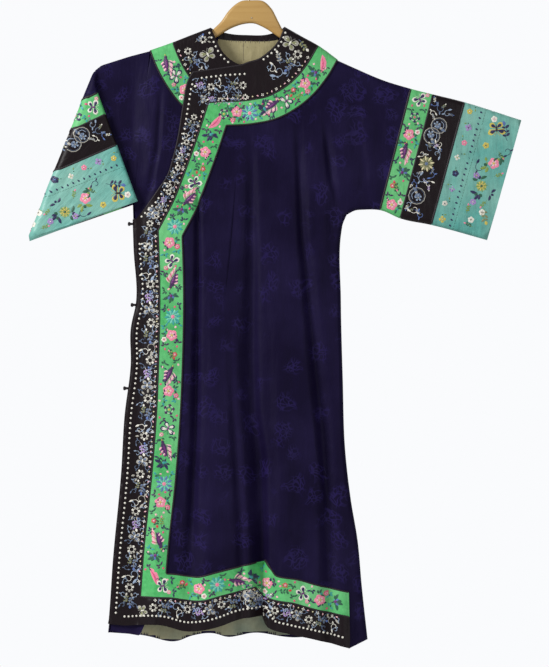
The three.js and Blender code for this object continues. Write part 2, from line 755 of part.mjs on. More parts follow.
// Lower edge of the facing, which runs on sideways under the cloth
const FACING_SPREAD = 1.28;
const FACING_HALF = 56;
const facingEdge = (below) => BACK_NECK.slice(1, 4)
  .map(([x, z]) => [x * FACING_SPREAD, z - FACING_WIDTH - below]);
const facingArea = prism([
  [-FACING_HALF, FAR.above], ...facingEdge(0), [FACING_HALF, FAR.above],
], 0, FAR.back);
const facing = insideLayer.intersect(facingArea).subtract(backNeckCut);
addMesh("facing_neck", largest(facing), COLOURS.black, 0.6);

const NECK_LINING = { left: -52, right: 48, low: -200 };
const neckLiningArea = prism([
  ...facingEdge(SEAM).reverse(), [NECK_LINING.left, NECK_LINING.low], [NECK_LINING.right, NECK_LINING.low],
], 0, FAR.back);
addMesh("lining_neck", largest(insideLayer.intersect(neckLiningArea)), COLOURS.beige, 0.6);

const HEM_LINING = { left: -235, right: 205, top: -1270, above: 4 };
const liningHem = BACK_HEM.slice(1, 10)
  .map(([x, z]) => [Math.min(x, HEM_LINING.right), z + HEM_LINING.above]);
const hemLiningArea = prism([
  ...liningHem, [HEM_LINING.right, HEM_LINING.top], [HEM_LINING.left, HEM_LINING.top],
], 0, FAR.back);
addMesh("lining_hem", largest(insideLayer.intersect(hemLiningArea)), COLOURS.greyGreen, 0.6);

// Sleeves: rings across the sleeve, from the left end to the right end

// Stations of a sleeve as its top and bottom point, in steps from the cuff to the armhole
function sleeveStations(top, bottom, lowShare, plainCount) {
  const marks = [0, CUFF_WIDTH, CUFF_WIDTH + BLACK_BAND, CUFF_WIDTH + BLACK_BAND + GREEN_BAND];
  const topLength = lengthOf(top);
  const bottomLength = lengthOf(bottom);
  const at = (topDistance, bottomDistance) => [
    along(top, topLength - topDistance),
    along(bottom, bottomLength - bottomDistance),
  ];
  const pieces = [];
  for (let k = 0; k < 3; k += 1) {
    const count = k === 0 ? 2 : 1;
    const first = marks[k] + (k ? SEAM / 2 : 0);
    const last = marks[k + 1] - SEAM / 2;
    const stations = [];
    for (let i = 0; i <= count; i += 1) {
      const distance = mix(first, last, i / count);
      stations.push(at(distance, distance * lowShare));
    }
    pieces.push(stations);
  }
  const plain = [];
  for (let i = 0; i <= plainCount; i += 1) {
    const share = i / plainCount;
    plain.push(at(
      mix(marks[3] + SEAM / 2, topLength - ARMHOLE_GAP, share),
      mix((marks[3] + SEAM / 2) * lowShare, bottomLength - ARMHOLE_GAP, share),
    ));
  }
  pieces.push(plain);
  return pieces;
}

function sleeveSheet(pieces, outward) {
  const sheet = new Sheet();
  const cellsOf = [];
  for (const stations of pieces) {
    let before = null;
    const from = sheet.cells.length;
    for (const [top, bottom] of stations) {
      const height = Math.hypot(top[0] - bottom[0], top[1] - bottom[1]);
      const steps = shares(height, RING_STEPS, true, true);
      const pin = armholePin(bottom, top);
      const ring = [];
      for (const side of [FRONT, BACK]) {
        const run = side.sign < 0 ? steps.slice(0, -1) : [...steps].reverse().slice(0, -1);
        for (const share of run) {
          const [x, z] = mixPoint(bottom, top, share);
          ring.push(sheet.add(x, side.sign * depthAt(side.folds, x, z), z, [pin]));
        }
      }
      if (before) {
        ring.forEach((point, k) => {
          const next = (k + 1) % ring.length;
          const corners = [before[k], point, ring[next], before[next]];
          sheet.cell(...(outward > 0 ? corners.reverse() : corners));
        });
      }
      before = ring;
    }
    cellsOf.push(sheet.cells.slice(from));
  }
  return { sheet, cellsOf };
}

// Splits every triangle that crosses a fold line, so that the cloth can bend there
function scoreAt({ points, triangles }, distance) {
  const made = new Map();
  const far = points.map(([x, , z]) => {
    const value = pastBend(x, z) - distance;
    return Math.abs(value) < ON_SCORE ? 0 : value;
  });
  const crossing = (a, b) => {
    const key = Math.min(a, b) + "," + Math.max(a, b);
    if (!made.has(key)) {
      const [low, high] = a < b ? [a, b] : [b, a];
      points.push(mixPoint(points[low], points[high], far[low] / (far[low] - far[high])));
      made.set(key, points.length - 1);
    }
    return made.get(key);
  };
  const result = [];
  for (const triangle of triangles) {
    const loop = [];
    triangle.forEach((from, i) => {
      const to = triangle[(i + 1) % 3];
      loop.push(from);
      if (far[from] * far[to] < 0) loop.push(crossing(from, to));
    });
    if (loop.length === 3) {
      result.push(triangle);
      continue;
    }
    const isMade = (point) => point >= far.length;
    while (!isMade(loop[0])) loop.push(loop.shift());
    while (loop.length === 5 && !(isMade(loop[0]) && isMade(loop[2]))) loop.push(loop.shift());
    for (let i = 2; i < loop.length; i += 1) result.push([loop[0], loop[i - 1], loop[i]]);
  }
  return { points, triangles: result };
}

function foldOver(wall) {
  let scored = wall;
  for (let i = 0; i <= BEND_SCORES; i += 1) scored = scoreAt(scored, (BEND_LENGTH * i) / BEND_SCORES);
  return { points: scored.points.map(bend), triangles: scored.triangles };
}

const SLEEVE_PIECES = [
  { name: "cuff", colour: COLOURS.turquoise, roughness: 0.5 },
  { name: "band_black", colour: COLOURS.black, roughness: 0.5 },
  { name: "band_green", colour: COLOURS.green, roughness: 0.45 },
  { name: "sleeve", colour: COLOURS.navy, roughness: 0.6 },
];
const SLEEVES = [
  { side: "right", outward: 1, top: SLEEVE_RIGHT_TOP, bottom: SLEEVE_RIGHT_BOTTOM, lowShare: 0.97, plain: 4 },
  { side: "left", outward: -1, top: SLEEVE_LEFT_TOP, bottom: SLEEVE_LEFT_BOTTOM, lowShare: 0.86, plain: 3 },
];
for (const sleeve of SLEEVES) {
  const stations = sleeveStations(sleeve.top, sleeve.bottom, sleeve.lowShare, sleeve.plain);
  const { sheet, cellsOf } = sleeveSheet(stations, sleeve.outward);
  SLEEVE_PIECES.forEach(({ name, colour, roughness }, i) => {
    const flat = sheet.wall(0, -CLOTH, cellsOf[i]);
    const wall = sleeve.side === "left" ? foldOver(flat) : flat;
    addMesh(name + "_" + sleeve.side, solidFrom(wall), colour, roughness);
  });
}

// Knot buttons of the side closing: a ball on a short cord that ends at the flap's edge
const flapEdge = front.grid.map((row) => front.sheet.points[row[0]]).map(([x, , z]) => [x, z]);
for (const [name, z] of Object.entries(KNOTS)) {
  const edge = lookUp(flapEdge, z, 1) - TRIM_HIGH - SEAM;
  const cordLength = KNOT_RADIUS + KNOT_REACH;
  const y = -KNOT_CORD - SEAM;
  const ball = new THREE.SphereGeometry(KNOT_RADIUS, 10, 7);
  ball.translate(edge - cordLength, y, z);
  const cord = new THREE.CylinderGeometry(KNOT_CORD, KNOT_CORD, cordLength, 8);
  cord.rotateZ(Math.PI / 2);
  cord.translate(edge - cordLength / 2, y, z);
  addMesh(name, solidFromGeometry(ball).add(solidFromGeometry(cord)), COLOURS.black, 0.6);
}

// Hanger: arched wood with rounded edges, its arms just under the shoulders
const WOOD_ARCH_TOP = [
  [-76, -122], [-58, -104], [-44, -84], [-30, -70], [-17, -62], [6, -60], [30, -62], [47, -77],
  [59, -99], [70, -121],
];
const WOOD_ARCH_BOTTOM = [
  [178, -204], [64, -139], [30, -117], [10, -109], [-10, -110], [-37, -119], [-67, -137], [-186, -182],
];
const WOOD_LEFT_ENDS = [[-192, -161.3], [-85, -122]];
const WOOD_RIGHT_ENDS = [[79, -121], [180, -182]];
const WOOD_FLAT = 0.2;
const WOOD_ROUND = WOOD_HALF - WOOD_FLAT;

// An arm's upper edge, just under the shoulder
function armEdge([start, end], shoulder) {
  return offsetLine([start, ...shoulder.slice(1, 3), end], WOOD_INSET);
}
const armLeft = armEdge(WOOD_LEFT_ENDS, SHOULDER_LEFT);
const armRight = armEdge(WOOD_RIGHT_ENDS, SHOULDER_RIGHT);
const woodOutline = [...armLeft, ...WOOD_ARCH_TOP, ...armRight, ...WOOD_ARCH_BOTTOM];
const woodShape = new THREE.Shape(woodOutline.map(([x, z]) => new THREE.Vector2(x, z)));
const woodGeometry = new THREE.ExtrudeGeometry(woodShape, {
  depth: 2 * WOOD_FLAT,
  steps: 1,
  bevelEnabled: true,
  bevelThickness: WOOD_ROUND,
  bevelSize: WOOD_ROUND,
  bevelOffset: -WOOD_ROUND,
  bevelSegments: 3,
});
woodGeometry.rotateX(Math.PI / 2);
woodGeometry.translate(0, WOOD_FLAT, 0);
const HOLE_RADIUS = WIRE_RADIUS + SEAM;
const HOLE_DEPTH = HOOK_SEAT.top - HOOK_SEAT.bottom;
const hookHole = new THREE.CylinderGeometry(HOLE_RADIUS, HOLE_RADIUS, HOLE_DEPTH, 12);
hookHole.rotateX(Math.PI / 2);
hookHole.translate(HOOK_SEAT.x, 0, (HOOK_SEAT.top + HOOK_SEAT.bottom) / 2);
const wood = solidFromGeometry(woodGeometry).subtract(solidFromGeometry(hookHole));
addMesh("hanger_wood", wood, COLOURS.wood, 0.5);

// Hook: a round wire with a stem in the wood and an open loop over the rail
function wireSolid(path, radius, sides) {
  const points = [];
  const triangles = [];
  path.forEach((p, i) => {
    const before = path[Math.max(0, i - 1)];
    const after = path[Math.min(path.length - 1, i + 1)];
    const length = Math.hypot(after[0] - before[0], after[1] - before[1]);
    const normal = [-(after[1] - before[1]) / length, (after[0] - before[0]) / length];
    for (let k = 0; k < sides; k += 1) {
      const angle = (2 * Math.PI * k) / sides;
      const off = radius * Math.cos(angle);
      points.push([p[0] + normal[0] * off, radius * Math.sin(angle), p[1] + normal[1] * off]);
      const next = (k + 1) % sides;
      if (i > 0) {
        const a = (i - 1) * sides;
        const b = i * sides;
        triangles.push([a + k, b + k, b + next], [a + k, b + next, a + next]);
      }
    }
  });
  const last = (path.length - 1) * sides;
  for (let k = 1; k + 1 < sides; k += 1) {
    triangles.push([0, k, k + 1], [last, last + k + 1, last + k]);
  }
  const solid = solidFrom({ points, triangles });
  if (solid.volume() > 0) return solid;
  return solidFrom({ points, triangles: triangles.map(([a, b, c]) => [a, c, b]) });
}
const HOOK_STEM = [[0, -58], [0.5, -52], [3, -47], [8, -43]];
const HOOK_LOOP = { from: -55, to: 205, step: 20 };
const hookCentre = WIRE_RADIUS - HOOK_RADIUS;
const hookPath = [[0, HOOK_SEAT.bottom + SEAM], ...HOOK_STEM];
for (let degrees = HOOK_LOOP.from; degrees <= HOOK_LOOP.to; degrees += HOOK_LOOP.step) {
  const angle = (degrees * Math.PI) / 180;
  hookPath.push([HOOK_RADIUS * Math.cos(angle), hookCentre + HOOK_RADIUS * Math.sin(angle)]);
}
addMesh("hanger_hook", wireSolid(hookPath, WIRE_RADIUS, 8), COLOURS.steel, 0.3, 1);

export default group;
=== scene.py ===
"""Embroidered silk robe on a wooden hanger: cloth, borders, embroidery, hanger, light and camera.

Plans are laid out in millimetres as x and z, seen from the front, and a depth field gives the third
axis. The meshes are in metres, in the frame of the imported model.
"""

import logging
import math
from dataclasses import dataclass, field
from enum import Enum
from typing import Callable, Optional, Sequence

import bpy
import numpy as np
from mathutils.geometry import delaunay_2d_cdt
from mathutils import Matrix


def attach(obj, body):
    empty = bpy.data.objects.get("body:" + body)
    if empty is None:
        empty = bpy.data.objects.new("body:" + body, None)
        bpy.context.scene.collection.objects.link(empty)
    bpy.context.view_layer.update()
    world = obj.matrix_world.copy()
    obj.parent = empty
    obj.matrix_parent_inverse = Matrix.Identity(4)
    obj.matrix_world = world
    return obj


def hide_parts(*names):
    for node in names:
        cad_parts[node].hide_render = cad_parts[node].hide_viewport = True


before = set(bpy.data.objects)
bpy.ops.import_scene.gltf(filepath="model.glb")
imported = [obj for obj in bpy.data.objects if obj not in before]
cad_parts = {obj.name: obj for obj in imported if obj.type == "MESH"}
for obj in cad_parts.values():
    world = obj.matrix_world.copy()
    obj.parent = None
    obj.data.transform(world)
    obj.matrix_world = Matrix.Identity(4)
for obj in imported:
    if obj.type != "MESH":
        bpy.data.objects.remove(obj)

log = logging.getLogger("robe")

MM = 0.001
Line = np.ndarray
Points = np.ndarray

# Sizes shared with the solids, in millimetres
CLOTH = 1.0
TRIM_LIFT = 1.5
TRIM_UNDERSIDE = 0.3
LINING_FACE = -2.3
LINING_UNDERSIDE = -3.1
HALF_RIBBON = 25.0
UNDER_DROP = 4.8
FACING_WIDTH = 13.0
CUFF_WIDTH = 126.0
BLACK_BAND = 68.0
GREEN_BAND = 48.0
# Distances of the cuff's, the black band's and the ribbon's upper edge from a sleeve's end
SLEEVE_EDGES = (CUFF_WIDTH, CUFF_WIDTH + BLACK_BAND, CUFF_WIDTH + BLACK_BAND + GREEN_BAND)
EDGE_RADIUS = 10.0
# Farther from an edge than this, its distance is taken as this
EDGE_REACH = 75.0
FOLDED_RADIUS = 6.0
BEND_RADIUS = 7.5

# How far piping lies in from an edge, and how high a stitch's own edge stands, in millimetres
PIPING_INSET = 1.8
STITCH_FOOT = 0.12


def mix(a: float, b: float, share: float) -> float:
    """Return the value at a share of the way from a to b."""
    return a + (b - a) * share


def ease(value: Points) -> Points:
    """Return a soft step from 0 to 1 while the value goes from 0 to 1."""
    held = np.clip(value, 0.0, 1.0)
    return held * held * (3.0 - 2.0 * held)


def line_of(*points: tuple[float, float]) -> Line:
    """Return a line as an array of x and z rows."""
    return np.array(points, dtype=float)


def length_of(line: Line) -> float:
    """Return a line's length."""
    return float(np.linalg.norm(np.diff(line, axis=0), axis=1).sum())


def smoothed(line: Line, step: float = 6.0, corners: Sequence[int] = ()) -> Line:
    """Run a soft curve through a line's points.

    Args:
        line: The points that the curve passes.
        step: Longest distance between two points of the result.
        corners: Indices of points where the line stays sharp.

    Returns:
        The finer line.
    """
    stops = [0, *corners, len(line) - 1]
    parts = []
    for first, last in zip(stops[:-1], stops[1:]):
        run = line[first : last + 1]
        gaps = np.linalg.norm(np.diff(run, axis=0), axis=1)
        slopes = np.diff(run, axis=0) / gaps[:, None]
        tangents = np.empty_like(run)
        tangents[0], tangents[-1] = slopes[0], slopes[-1]
        if len(run) > 2:
            before, after = gaps[:-1, None], gaps[1:, None]
            tangents[1:-1] = (slopes[1:] * before + slopes[:-1] * after) / (before + after)
        for i, gap in enumerate(gaps):
            count = max(1, int(math.ceil(gap / step)))
            t = (np.arange(count) / count)[:, None]
            parts.append(
                run[i] * (2 * t**3 - 3 * t**2 + 1)
                + tangents[i] * gap * (t**3 - 2 * t**2 + t)
                + run[i + 1] * (3 * t**2 - 2 * t**3)
                + tangents[i + 1] * gap * (t**3 - t**2)
            )
    return np.vstack([*parts, line[-1:]])


def resampled(line: Line, step: float) -> Line:
    """Return the line with points at even distances of about one step.

    Args:
        line: Rows of x and z.
        step: Distance between the new points.

    Returns:
        The new line.
    """
    gaps = np.concatenate([[0.0], np.cumsum(np.linalg.norm(np.diff(line, axis=0), axis=1))])
    count = max(1, int(round(gaps[-1] / step)))
    wanted = np.linspace(0.0, gaps[-1], count + 1)
    return np.stack([np.interp(wanted, gaps, line[:, 0]), np.interp(wanted, gaps, line[:, 1])], axis=1)


def along(line: Line, distance: float) -> Points:
    """Return the point at a distance along a line."""
    gaps = np.concatenate([[0.0], np.cumsum(np.linalg.norm(np.diff(line, axis=0), axis=1))])
    return np.array([np.interp(distance, gaps, line[:, 0]), np.interp(distance, gaps, line[:, 1])])


def look_up(line: Line, keys: Points, axis: int) -> Points:
    """Look values up in a line: axis 0 gives z from x, and axis 1 gives x from z."""
    order = np.argsort(line[:, axis])
    return np.interp(keys, line[order, axis], line[order, 1 - axis])


def offset_line(line: Line, distance: float) -> Line:
    """Move a line sideways, to its right for a positive distance, with mitred corners.

    Args:
        line: Rows of x and z.
        distance: How far it moves.

    Returns:
        The moved line.
    """
    gaps = np.linalg.norm(np.diff(line, axis=0), axis=1)
    line = line[np.concatenate([[True], gaps > 0.01])]
    steps = np.diff(line, axis=0)
    lengths = np.linalg.norm(steps, axis=1)
    normals = np.stack([steps[:, 1], -steps[:, 0]], axis=1) / lengths[:, None]
    before = np.vstack([normals[:1], normals])
    after = np.vstack([normals, normals[-1:]])
    scale = distance / np.maximum(1.0 + (before * after).sum(axis=1), 0.4)
    return line + (before + after) * scale[:, None]


def nearest_on(line: Line, points: Points) -> tuple[Points, Points, Points, Points]:
    """Find the nearest place on a line for each point.

    Args:
        line: The line.
        points: Rows of x and z.

    Returns:
        The distances, the segments' indices, the shares of those segments and the side, which is
        above zero to the left of the line.
    """
    start, step = line[:-1], np.diff(line, axis=0)
    squares = (step**2).sum(axis=1)
    found = [np.empty(len(points)) for _ in range(4)]
    for low in range(0, len(points), 4000):
        rows = slice(low, min(low + 4000, len(points)))
        relative = points[rows, None, :] - start[None]
        share = np.clip((relative * step).sum(axis=2) / squares, 0.0, 1.0)
        away = relative - share[..., None] * step
        square = (away**2).sum(axis=2)
        index = square.argmin(axis=1)
        row = np.arange(len(index))
        found[0][rows] = np.sqrt(square[row, index])
        found[1][rows] = index
        found[2][rows] = share[row, index]
        turn = step[index, 0] * away[row, index, 1] - step[index, 1] * away[row, index, 0]
        found[3][rows] = np.sign(turn)
    return found[0], found[1].astype(int), found[2], found[3]


def inside(polygon: Line, points: Points) -> Points:
    """Return which points lie inside a polygon.

    Args:
        polygon: The closed outline.
        points: Rows of x and z.

    Returns:
        One truth value for each point.
    """
    within = np.zeros(len(points), dtype=bool)
    x, z = points[:, 0], points[:, 1]
    for (ax, az), (bx, bz) in zip(polygon, np.roll(polygon, -1, axis=0)):
        if az == bz:
            continue
        crosses = (az > z) != (bz > z)
        within ^= crosses & (x < (bx - ax) * (z - az) / (bz - az) + ax)
    return within


def enclosed(
    line: Line, aside: float, corners: Sequence[tuple[float, float]], places: Points
) -> Points:
    """Tell which places lie inside a line that is moved aside and then closed by corners.

    Args:
        line: The line.
        aside: How far it is moved.
        corners: The outline's other points.
        places: Rows of x and z.

    Returns:
        One truth value for each place.
    """
    return inside(np.vstack([offset_line(line, aside), line_of(*corners)]), places)


def left_of(a: Points, b: Points, points: Points) -> Points:
    """Return which points lie to the left of the way from a to b."""
    return (b[0] - a[0]) * (points[:, 1] - a[1]) - (b[1] - a[1]) * (points[:, 0] - a[0]) > 0


# Edges of the hung robe, as x and z
SHOULDER_LEFT = smoothed(line_of((-208, -167), (-160, -150), (-127, -137), (-80, -119)))
SHOULDER_RIGHT = smoothed(line_of((74, -117), (113, -139), (144, -156), (187, -187)))
SLEEVE_RIGHT_TOP = smoothed(
    line_of((187, -187), (227, -205), (284, -229), (340, -246), (452, -274), (572, -312))
)
SLEEVE_RIGHT_BOTTOM = smoothed(
    line_of((205, -511), (222, -502), (242, -500), (275, -501), (319, -519), (382, -532), (500, -564))
)
SIDE_LEFT = smoothed(line_of(
    (-244, -490), (-241, -583), (-236, -695), (-247, -750), (-247, -824),
    (-260, -933), (-267, -1050), (-284, -1231), (-294, -1369), (-296, -1388),
), 8.0)
SIDE_RIGHT = smoothed(line_of(
    (205, -511), (197, -530), (194, -547), (193, -690), (197, -858), (202, -1005),
    (214, -1110), (228, -1194), (237, -1292), (249, -1402),
), 8.0)
FRONT_HEM = smoothed(line_of(
    (-296, -1369), (-271, -1372), (-183, -1370), (-126, -1383), (-103, -1381), (-55, -1370),
    (-25, -1359), (27, -1352), (38, -1372), (82, -1387), (130, -1398), (210, -1419),
), 5.0, corners=(7,))
BACK_HEM = smoothed(line_of(
    (-296, -1388), (-235, -1393), (-153, -1408), (-122, -1398), (-78, -1393), (-42, -1400),
    (2, -1391), (92, -1402), (139, -1400), (210, -1420), (249, -1402),
), 5.0, corners=(9,))
FRONT_NECK = smoothed(line_of(
    (-80, -119), (-67, -147), (-57, -167), (-37, -187), (-17, -196), (-3, -191),
    (20, -184), (40, -170), (59, -150), (74, -117),
), 4.0)
BACK_NECK = smoothed(line_of((-80, -119), (-43, -129), (-3, -132), (44, -130), (74, -117)), 4.0)
OVERLAP_EDGE = smoothed(line_of(
    (-17, -196), (-69, -204), (-118, -211), (-126, -224), (-139, -282), (-150, -350),
    (-160, -392), (-172, -429), (-192, -459), (-217, -495), (-237, -520),
), 5.0, corners=(2,))
UNDERLAP_HEM = line_of((-310, -1388), (-232, -1394), (-214, -1356), (-75, -1356))
UNDERLAP_EDGE = line_of((-75, -900), (-20, -300))

# Middle lines of the ribbons
RIBBON_FRONT = smoothed(line_of(
    (194, -122), (164, -173), (144, -207), (118, -240), (84, -268), (47, -287), (10, -295),
    (-66, -300), (-87, -364), (-113, -436), (-134, -490), (-165, -550), (-162, -640),
    (-164, -824), (-168, -921), (-178, -1059), (-196, -1232), (-200, -1287), (-162, -1288),
    (-103, -1294), (-63, -1284), (-13, -1272), (24, -1264), (38, -1283), (101, -1300),
    (149, -1314), (211, -1328), (300, -1346),
), corners=(7, 11, 17, 22))
RIBBON_UNDER = smoothed(line_of(
    (-200, -110), (-183, -159), (-169, -194), (-145, -236), (-120, -266), (-60, -300),
))
RIBBON_BACK = smoothed(line_of(
    (-200, -110), (-183, -159), (-145, -198), (-82, -228), (-8, -240), (65, -232), (124, -207),
    (164, -173), (194, -122),
))
NECK_MITRE = line_of((-110, -243), (-40, -333))
PIT_MITRE = line_of((-262, -535), (-120, -557))
HEM_MITRE = line_of((-340, -1410), (-165, -1257))

FOLD_TOP = np.array([-323.0, -201.0])
FOLD_BOTTOM = np.array([-466.0, -564.0])


@dataclass(frozen=True)
class SleeveFold:
    """The left sleeve lies folded forward over a slanted line; its plan is laid out flat."""

    radius: float = BEND_RADIUS

    @property
    def out(self) -> Points:
        """Direction across the fold, away from the body."""
        run = (FOLD_BOTTOM - FOLD_TOP) / np.linalg.norm(FOLD_BOTTOM - FOLD_TOP)
        return np.array([run[1], -run[0]])

    @property
    def start(self) -> Points:
        """A point of the line where the bend starts."""
        return FOLD_TOP - self.out * (self.radius + FOLDED_RADIUS)

    @property
    def length(self) -> float:
        """Length of cloth in the bend."""
        return math.pi * self.radius

    def past(self, points: Points) -> Points:
        """Return how far points lie past the start of the bend."""
        return (points - self.start) @ self.out

    def unfolded(self, x: float, z: float) -> tuple[float, float]:
        """Return where a point of the folded flap lies on the flat plan.

        Args:
            x: Its place across.
            z: Its place along.

        Returns:
            Its place on the flat plan.
        """
        point = np.array([x, z], dtype=float)
        move = self.length - 2.0 * self.past(point)
        return tuple(point + self.out * move)

    def bent(self, points: Points) -> Points:
        """Fold flat points over.

        Args:
            points: Rows of x, y and z on the flat sleeve.

        Returns:
            The points in place, on the bend or on the flap in front of it.
        """
        past = self.past(points[:, [0, 2]])
        angle = np.clip(past / self.radius, 0.0, math.pi)
        radius = self.radius + points[:, 1]
        reach = np.where(past > self.length, self.length - past, radius * np.sin(angle))
        move = reach - past
        result = points.copy()
        folds = past > 0
        result[folds, 0] += self.out[0] * move[folds]
        result[folds, 2] += self.out[1] * move[folds]
        result[folds, 1] = (radius * np.cos(angle) - self.radius)[folds]
        return result


SLEEVE_FOLD = SleeveFold()
SLEEVE_LEFT_TOP = resampled(line_of(
    (-208, -167), (-250, -178), (-310, -197),
    SLEEVE_FOLD.unfolded(-319, -249), SLEEVE_FOLD.unfolded(-233, -483),
), 6.0)
SLEEVE_LEFT_BOTTOM = resampled(line_of((-244, -490), SLEEVE_FOLD.unfolded(-466, -564)), 6.0)
CLOSED_EDGES = (
    SIDE_LEFT, SIDE_RIGHT, SHOULDER_LEFT, SHOULDER_RIGHT,
    SLEEVE_LEFT_TOP, SLEEVE_LEFT_BOTTOM, SLEEVE_RIGHT_TOP, SLEEVE_RIGHT_BOTTOM,
)


def edge_distance(points: Points) -> Points:
    """Return each point's distance to the nearest side, shoulder or sleeve edge, up to 75 mm.

    Args:
        points: Rows of x and z.

    Returns:
        One distance for each point.
    """
    distance = np.full(len(points), EDGE_REACH)
    for line in CLOSED_EDGES:
        for first in range(0, len(line) - 1, 16):
            part = line[first : first + 17]
            low, high = part.min(axis=0) - EDGE_REACH, part.max(axis=0) + EDGE_REACH
            near = np.nonzero(((points > low) & (points < high)).all(axis=1))[0]
            if len(near):
                distance[near] = np.minimum(distance[near], nearest_on(part, points[near])[0])
    return distance


@dataclass(frozen=True)
class Fold:
    """A trough or ridge in hanging cloth.

    Each row of the run gives x, z, half width to the left, half width to the right and how far the
    cloth stands out, or lies back below zero.
    """

    name: str
    run: tuple[tuple[float, float, float, float, float], ...]

    def depth(self, points: Points) -> Points:
        """Return how far the fold moves the cloth outwards at each point.

        Args:
            points: Rows of x and z.

        Returns:
            One depth for each point.
        """
        rows = np.array(self.run)
        distance, index, share, side = nearest_on(rows[:, :2], points)
        values = rows[index] + (rows[index + 1] - rows[index]) * share[:, None]
        # A run goes down, so its left-hand side is the side of greater x
        width = np.where(side > 0, values[:, 3], values[:, 2])
        return values[:, 4] * np.exp(-((distance / width) ** 2))


FRONT_FOLDS = (
    Fold("valley beside the ribbon", (
        (-107, -410, 6, 7, 0), (-107, -520, 6, 6, -9), (-107, -640, 7, 6, -12),
        (-112, -984, 9, 8, -15), (-118, -1130, 11, 9, -14), (-124, -1250, 14, 14, -6),
        (-124, -1440, 18, 18, -3),
    )),
    Fold("ridge beside that valley", (
        (-70, -480, 20, 26, 0), (-74, -700, 18, 30, 3), (-76, -900, 20, 34, 5),
        (-80, -1200, 26, 36, 8), (-84, -1440, 30, 34, 9),
    )),
    Fold("middle valley", (
        (4, -330, 10, 8, 0), (6, -450, 12, 9, -6), (7, -560, 15, 11, -11), (6, -820, 22, 13, -18),
        (10, -930, 23, 12, -21), (24, -1020, 25, 10, -25), (29, -1200, 25, 8, -29),
        (31, -1440, 24, 6, -29),
    )),
    Fold("small valley left of the middle", (
        (-40, -700, 8, 8, 0), (-34, -900, 9, 8, -5), (-24, -1040, 10, 8, -8), (-16, -1180, 10, 9, -8),
        (-12, -1440, 12, 10, -6),
    )),
    Fold("ridge right of the middle", (
        (52, -560, 16, 24, 0), (60, -760, 18, 26, 4), (66, -950, 18, 28, 6),
        (72, -1200, 20, 30, 8), (80, -1440, 20, 32, 8),
    )),
    Fold("side valley", (
        (101, -290, 7, 9, 0), (106, -450, 7, 11, -8), (112, -560, 8, 12, -11),
        (120, -633, 9, 15, -13), (136, -800, 10, 18, -15), (152, -950, 12, 20, -17),
        (166, -1200, 14, 20, -18), (176, -1440, 18, 20, -13),
    )),
    Fold("small ridge in the side valley", (
        (132, -900, 7, 7, 0), (142, -1000, 6, 7, 5), (152, -1090, 6, 7, 6), (172, -1221, 8, 8, 0),
    )),
    Fold("armpit drag", (
        (157, -300, 6, 8, 0), (164, -370, 6, 9, -7), (172, -430, 7, 10, -9), (188, -500, 8, 8, 0),
    )),
    Fold("ridge over the armpit", (
        (140, -330, 12, 12, 0), (148, -420, 14, 10, 3), (158, -520, 14, 12, 3), (164, -640, 12, 12, 0),
    )),
    Fold("sleeve drag", (
        (215, -230, 14, 10, 0), (228, -300, 16, 10, -3), (235, -370, 16, 10, -4.5),
        (240, -430, 16, 12, -3.5), (236, -480, 10, 10, 0),
    )),
    Fold("second sleeve drag", (
        (262, -260, 12, 12, 0), (276, -340, 14, 12, -2.5), (280, -420, 14, 14, -2.5),
        (276, -480, 10, 10, 0),
    )),
    Fold("top cuff wrinkle", (
        (418, -300, 5, 5, 0), (452, -312, 5, 8, -3.2), (486, -326, 4, 8, -3.6), (520, -352, 5, 5, 0),
    )),
    Fold("middle cuff wrinkle", (
        (430, -392, 5, 5, 0), (470, -388, 5, 8, -3.6), (500, -402, 5, 7, -2.8), (528, -420, 5, 5, 0),
    )),
    Fold("low cuff wrinkle", (
        (378, -486, 5, 5, 0), (420, -494, 4, 9, -3.8), (460, -512, 5, 8, -3.8), (492, -520, 5, 5, 0),
    )),
    Fold("short cuff wrinkle", (
        (392, -440, 4, 6, 0), (420, -452, 4, 7, -2.8), (450, -470, 4, 6, 0),
    )),
    Fold("cuff ridge", (
        (396, -516, 6, 6, 0), (440, -530, 6, 7, 2.2), (476, -540, 6, 6, 0),
    )),
    Fold("crease under the left arm", (
        (-183, -238, 5, 5, 0), (-187, -300, 6, 5, -5), (-191, -370, 7, 5, -6), (-206, -450, 7, 5, -4),
        (-222, -490, 6, 6, 0),
    )),
    Fold("slack beside the left sleeve", (
        (-250, -230, 14, 12, 0), (-246, -320, 14, 12, -2.5),
        (-262, -420, 14, 12, -2), (-270, -470, 12, 10, 0),
    )),
)
BACK_FOLDS = (
    Fold("left back valley", (
        (-120, -420, 14, 12, 0), (-126, -800, 20, 12, -7), (-140, -1200, 24, 14, -11),
        (-150, -1440, 26, 16, -11),
    )),
    Fold("left back ridge", (
        (-70, -560, 24, 24, 0), (-78, -1000, 28, 26, 5), (-86, -1440, 32, 28, 8),
    )),
    Fold("middle back valley", (
        (-4, -500, 12, 18, 0), (0, -900, 14, 24, -8), (-8, -1250, 14, 26, -13), (-12, -1440, 14, 26, -13),
    )),
    Fold("right back ridge", (
        (70, -520, 24, 24, 0), (78, -1000, 28, 24, 5), (88, -1440, 30, 26, 8),
    )),
    Fold("right back valley", (
        (140, -470, 12, 12, 0), (140, -800, 18, 13, -6), (160, -1200, 22, 16, -10),
        (170, -1440, 22, 18, -10),
    )),
    Fold("sleeve drag at the back", (
        (220, -240, 14, 12, 0), (240, -340, 18, 12, -4), (238, -470, 10, 10, 0),
    )),
    Fold("short back crease", (
        (-36, -1020, 8, 10, 0), (-44, -1180, 10, 12, -4), (-48, -1440, 12, 12, -4),
    )),
)


def flattening(x: Points) -> Points:
    """Return how flat the left sleeve lies: 0 at the hanger's end, 1 where it is folded over."""
    return ease((-190.0 - x) / 55.0)


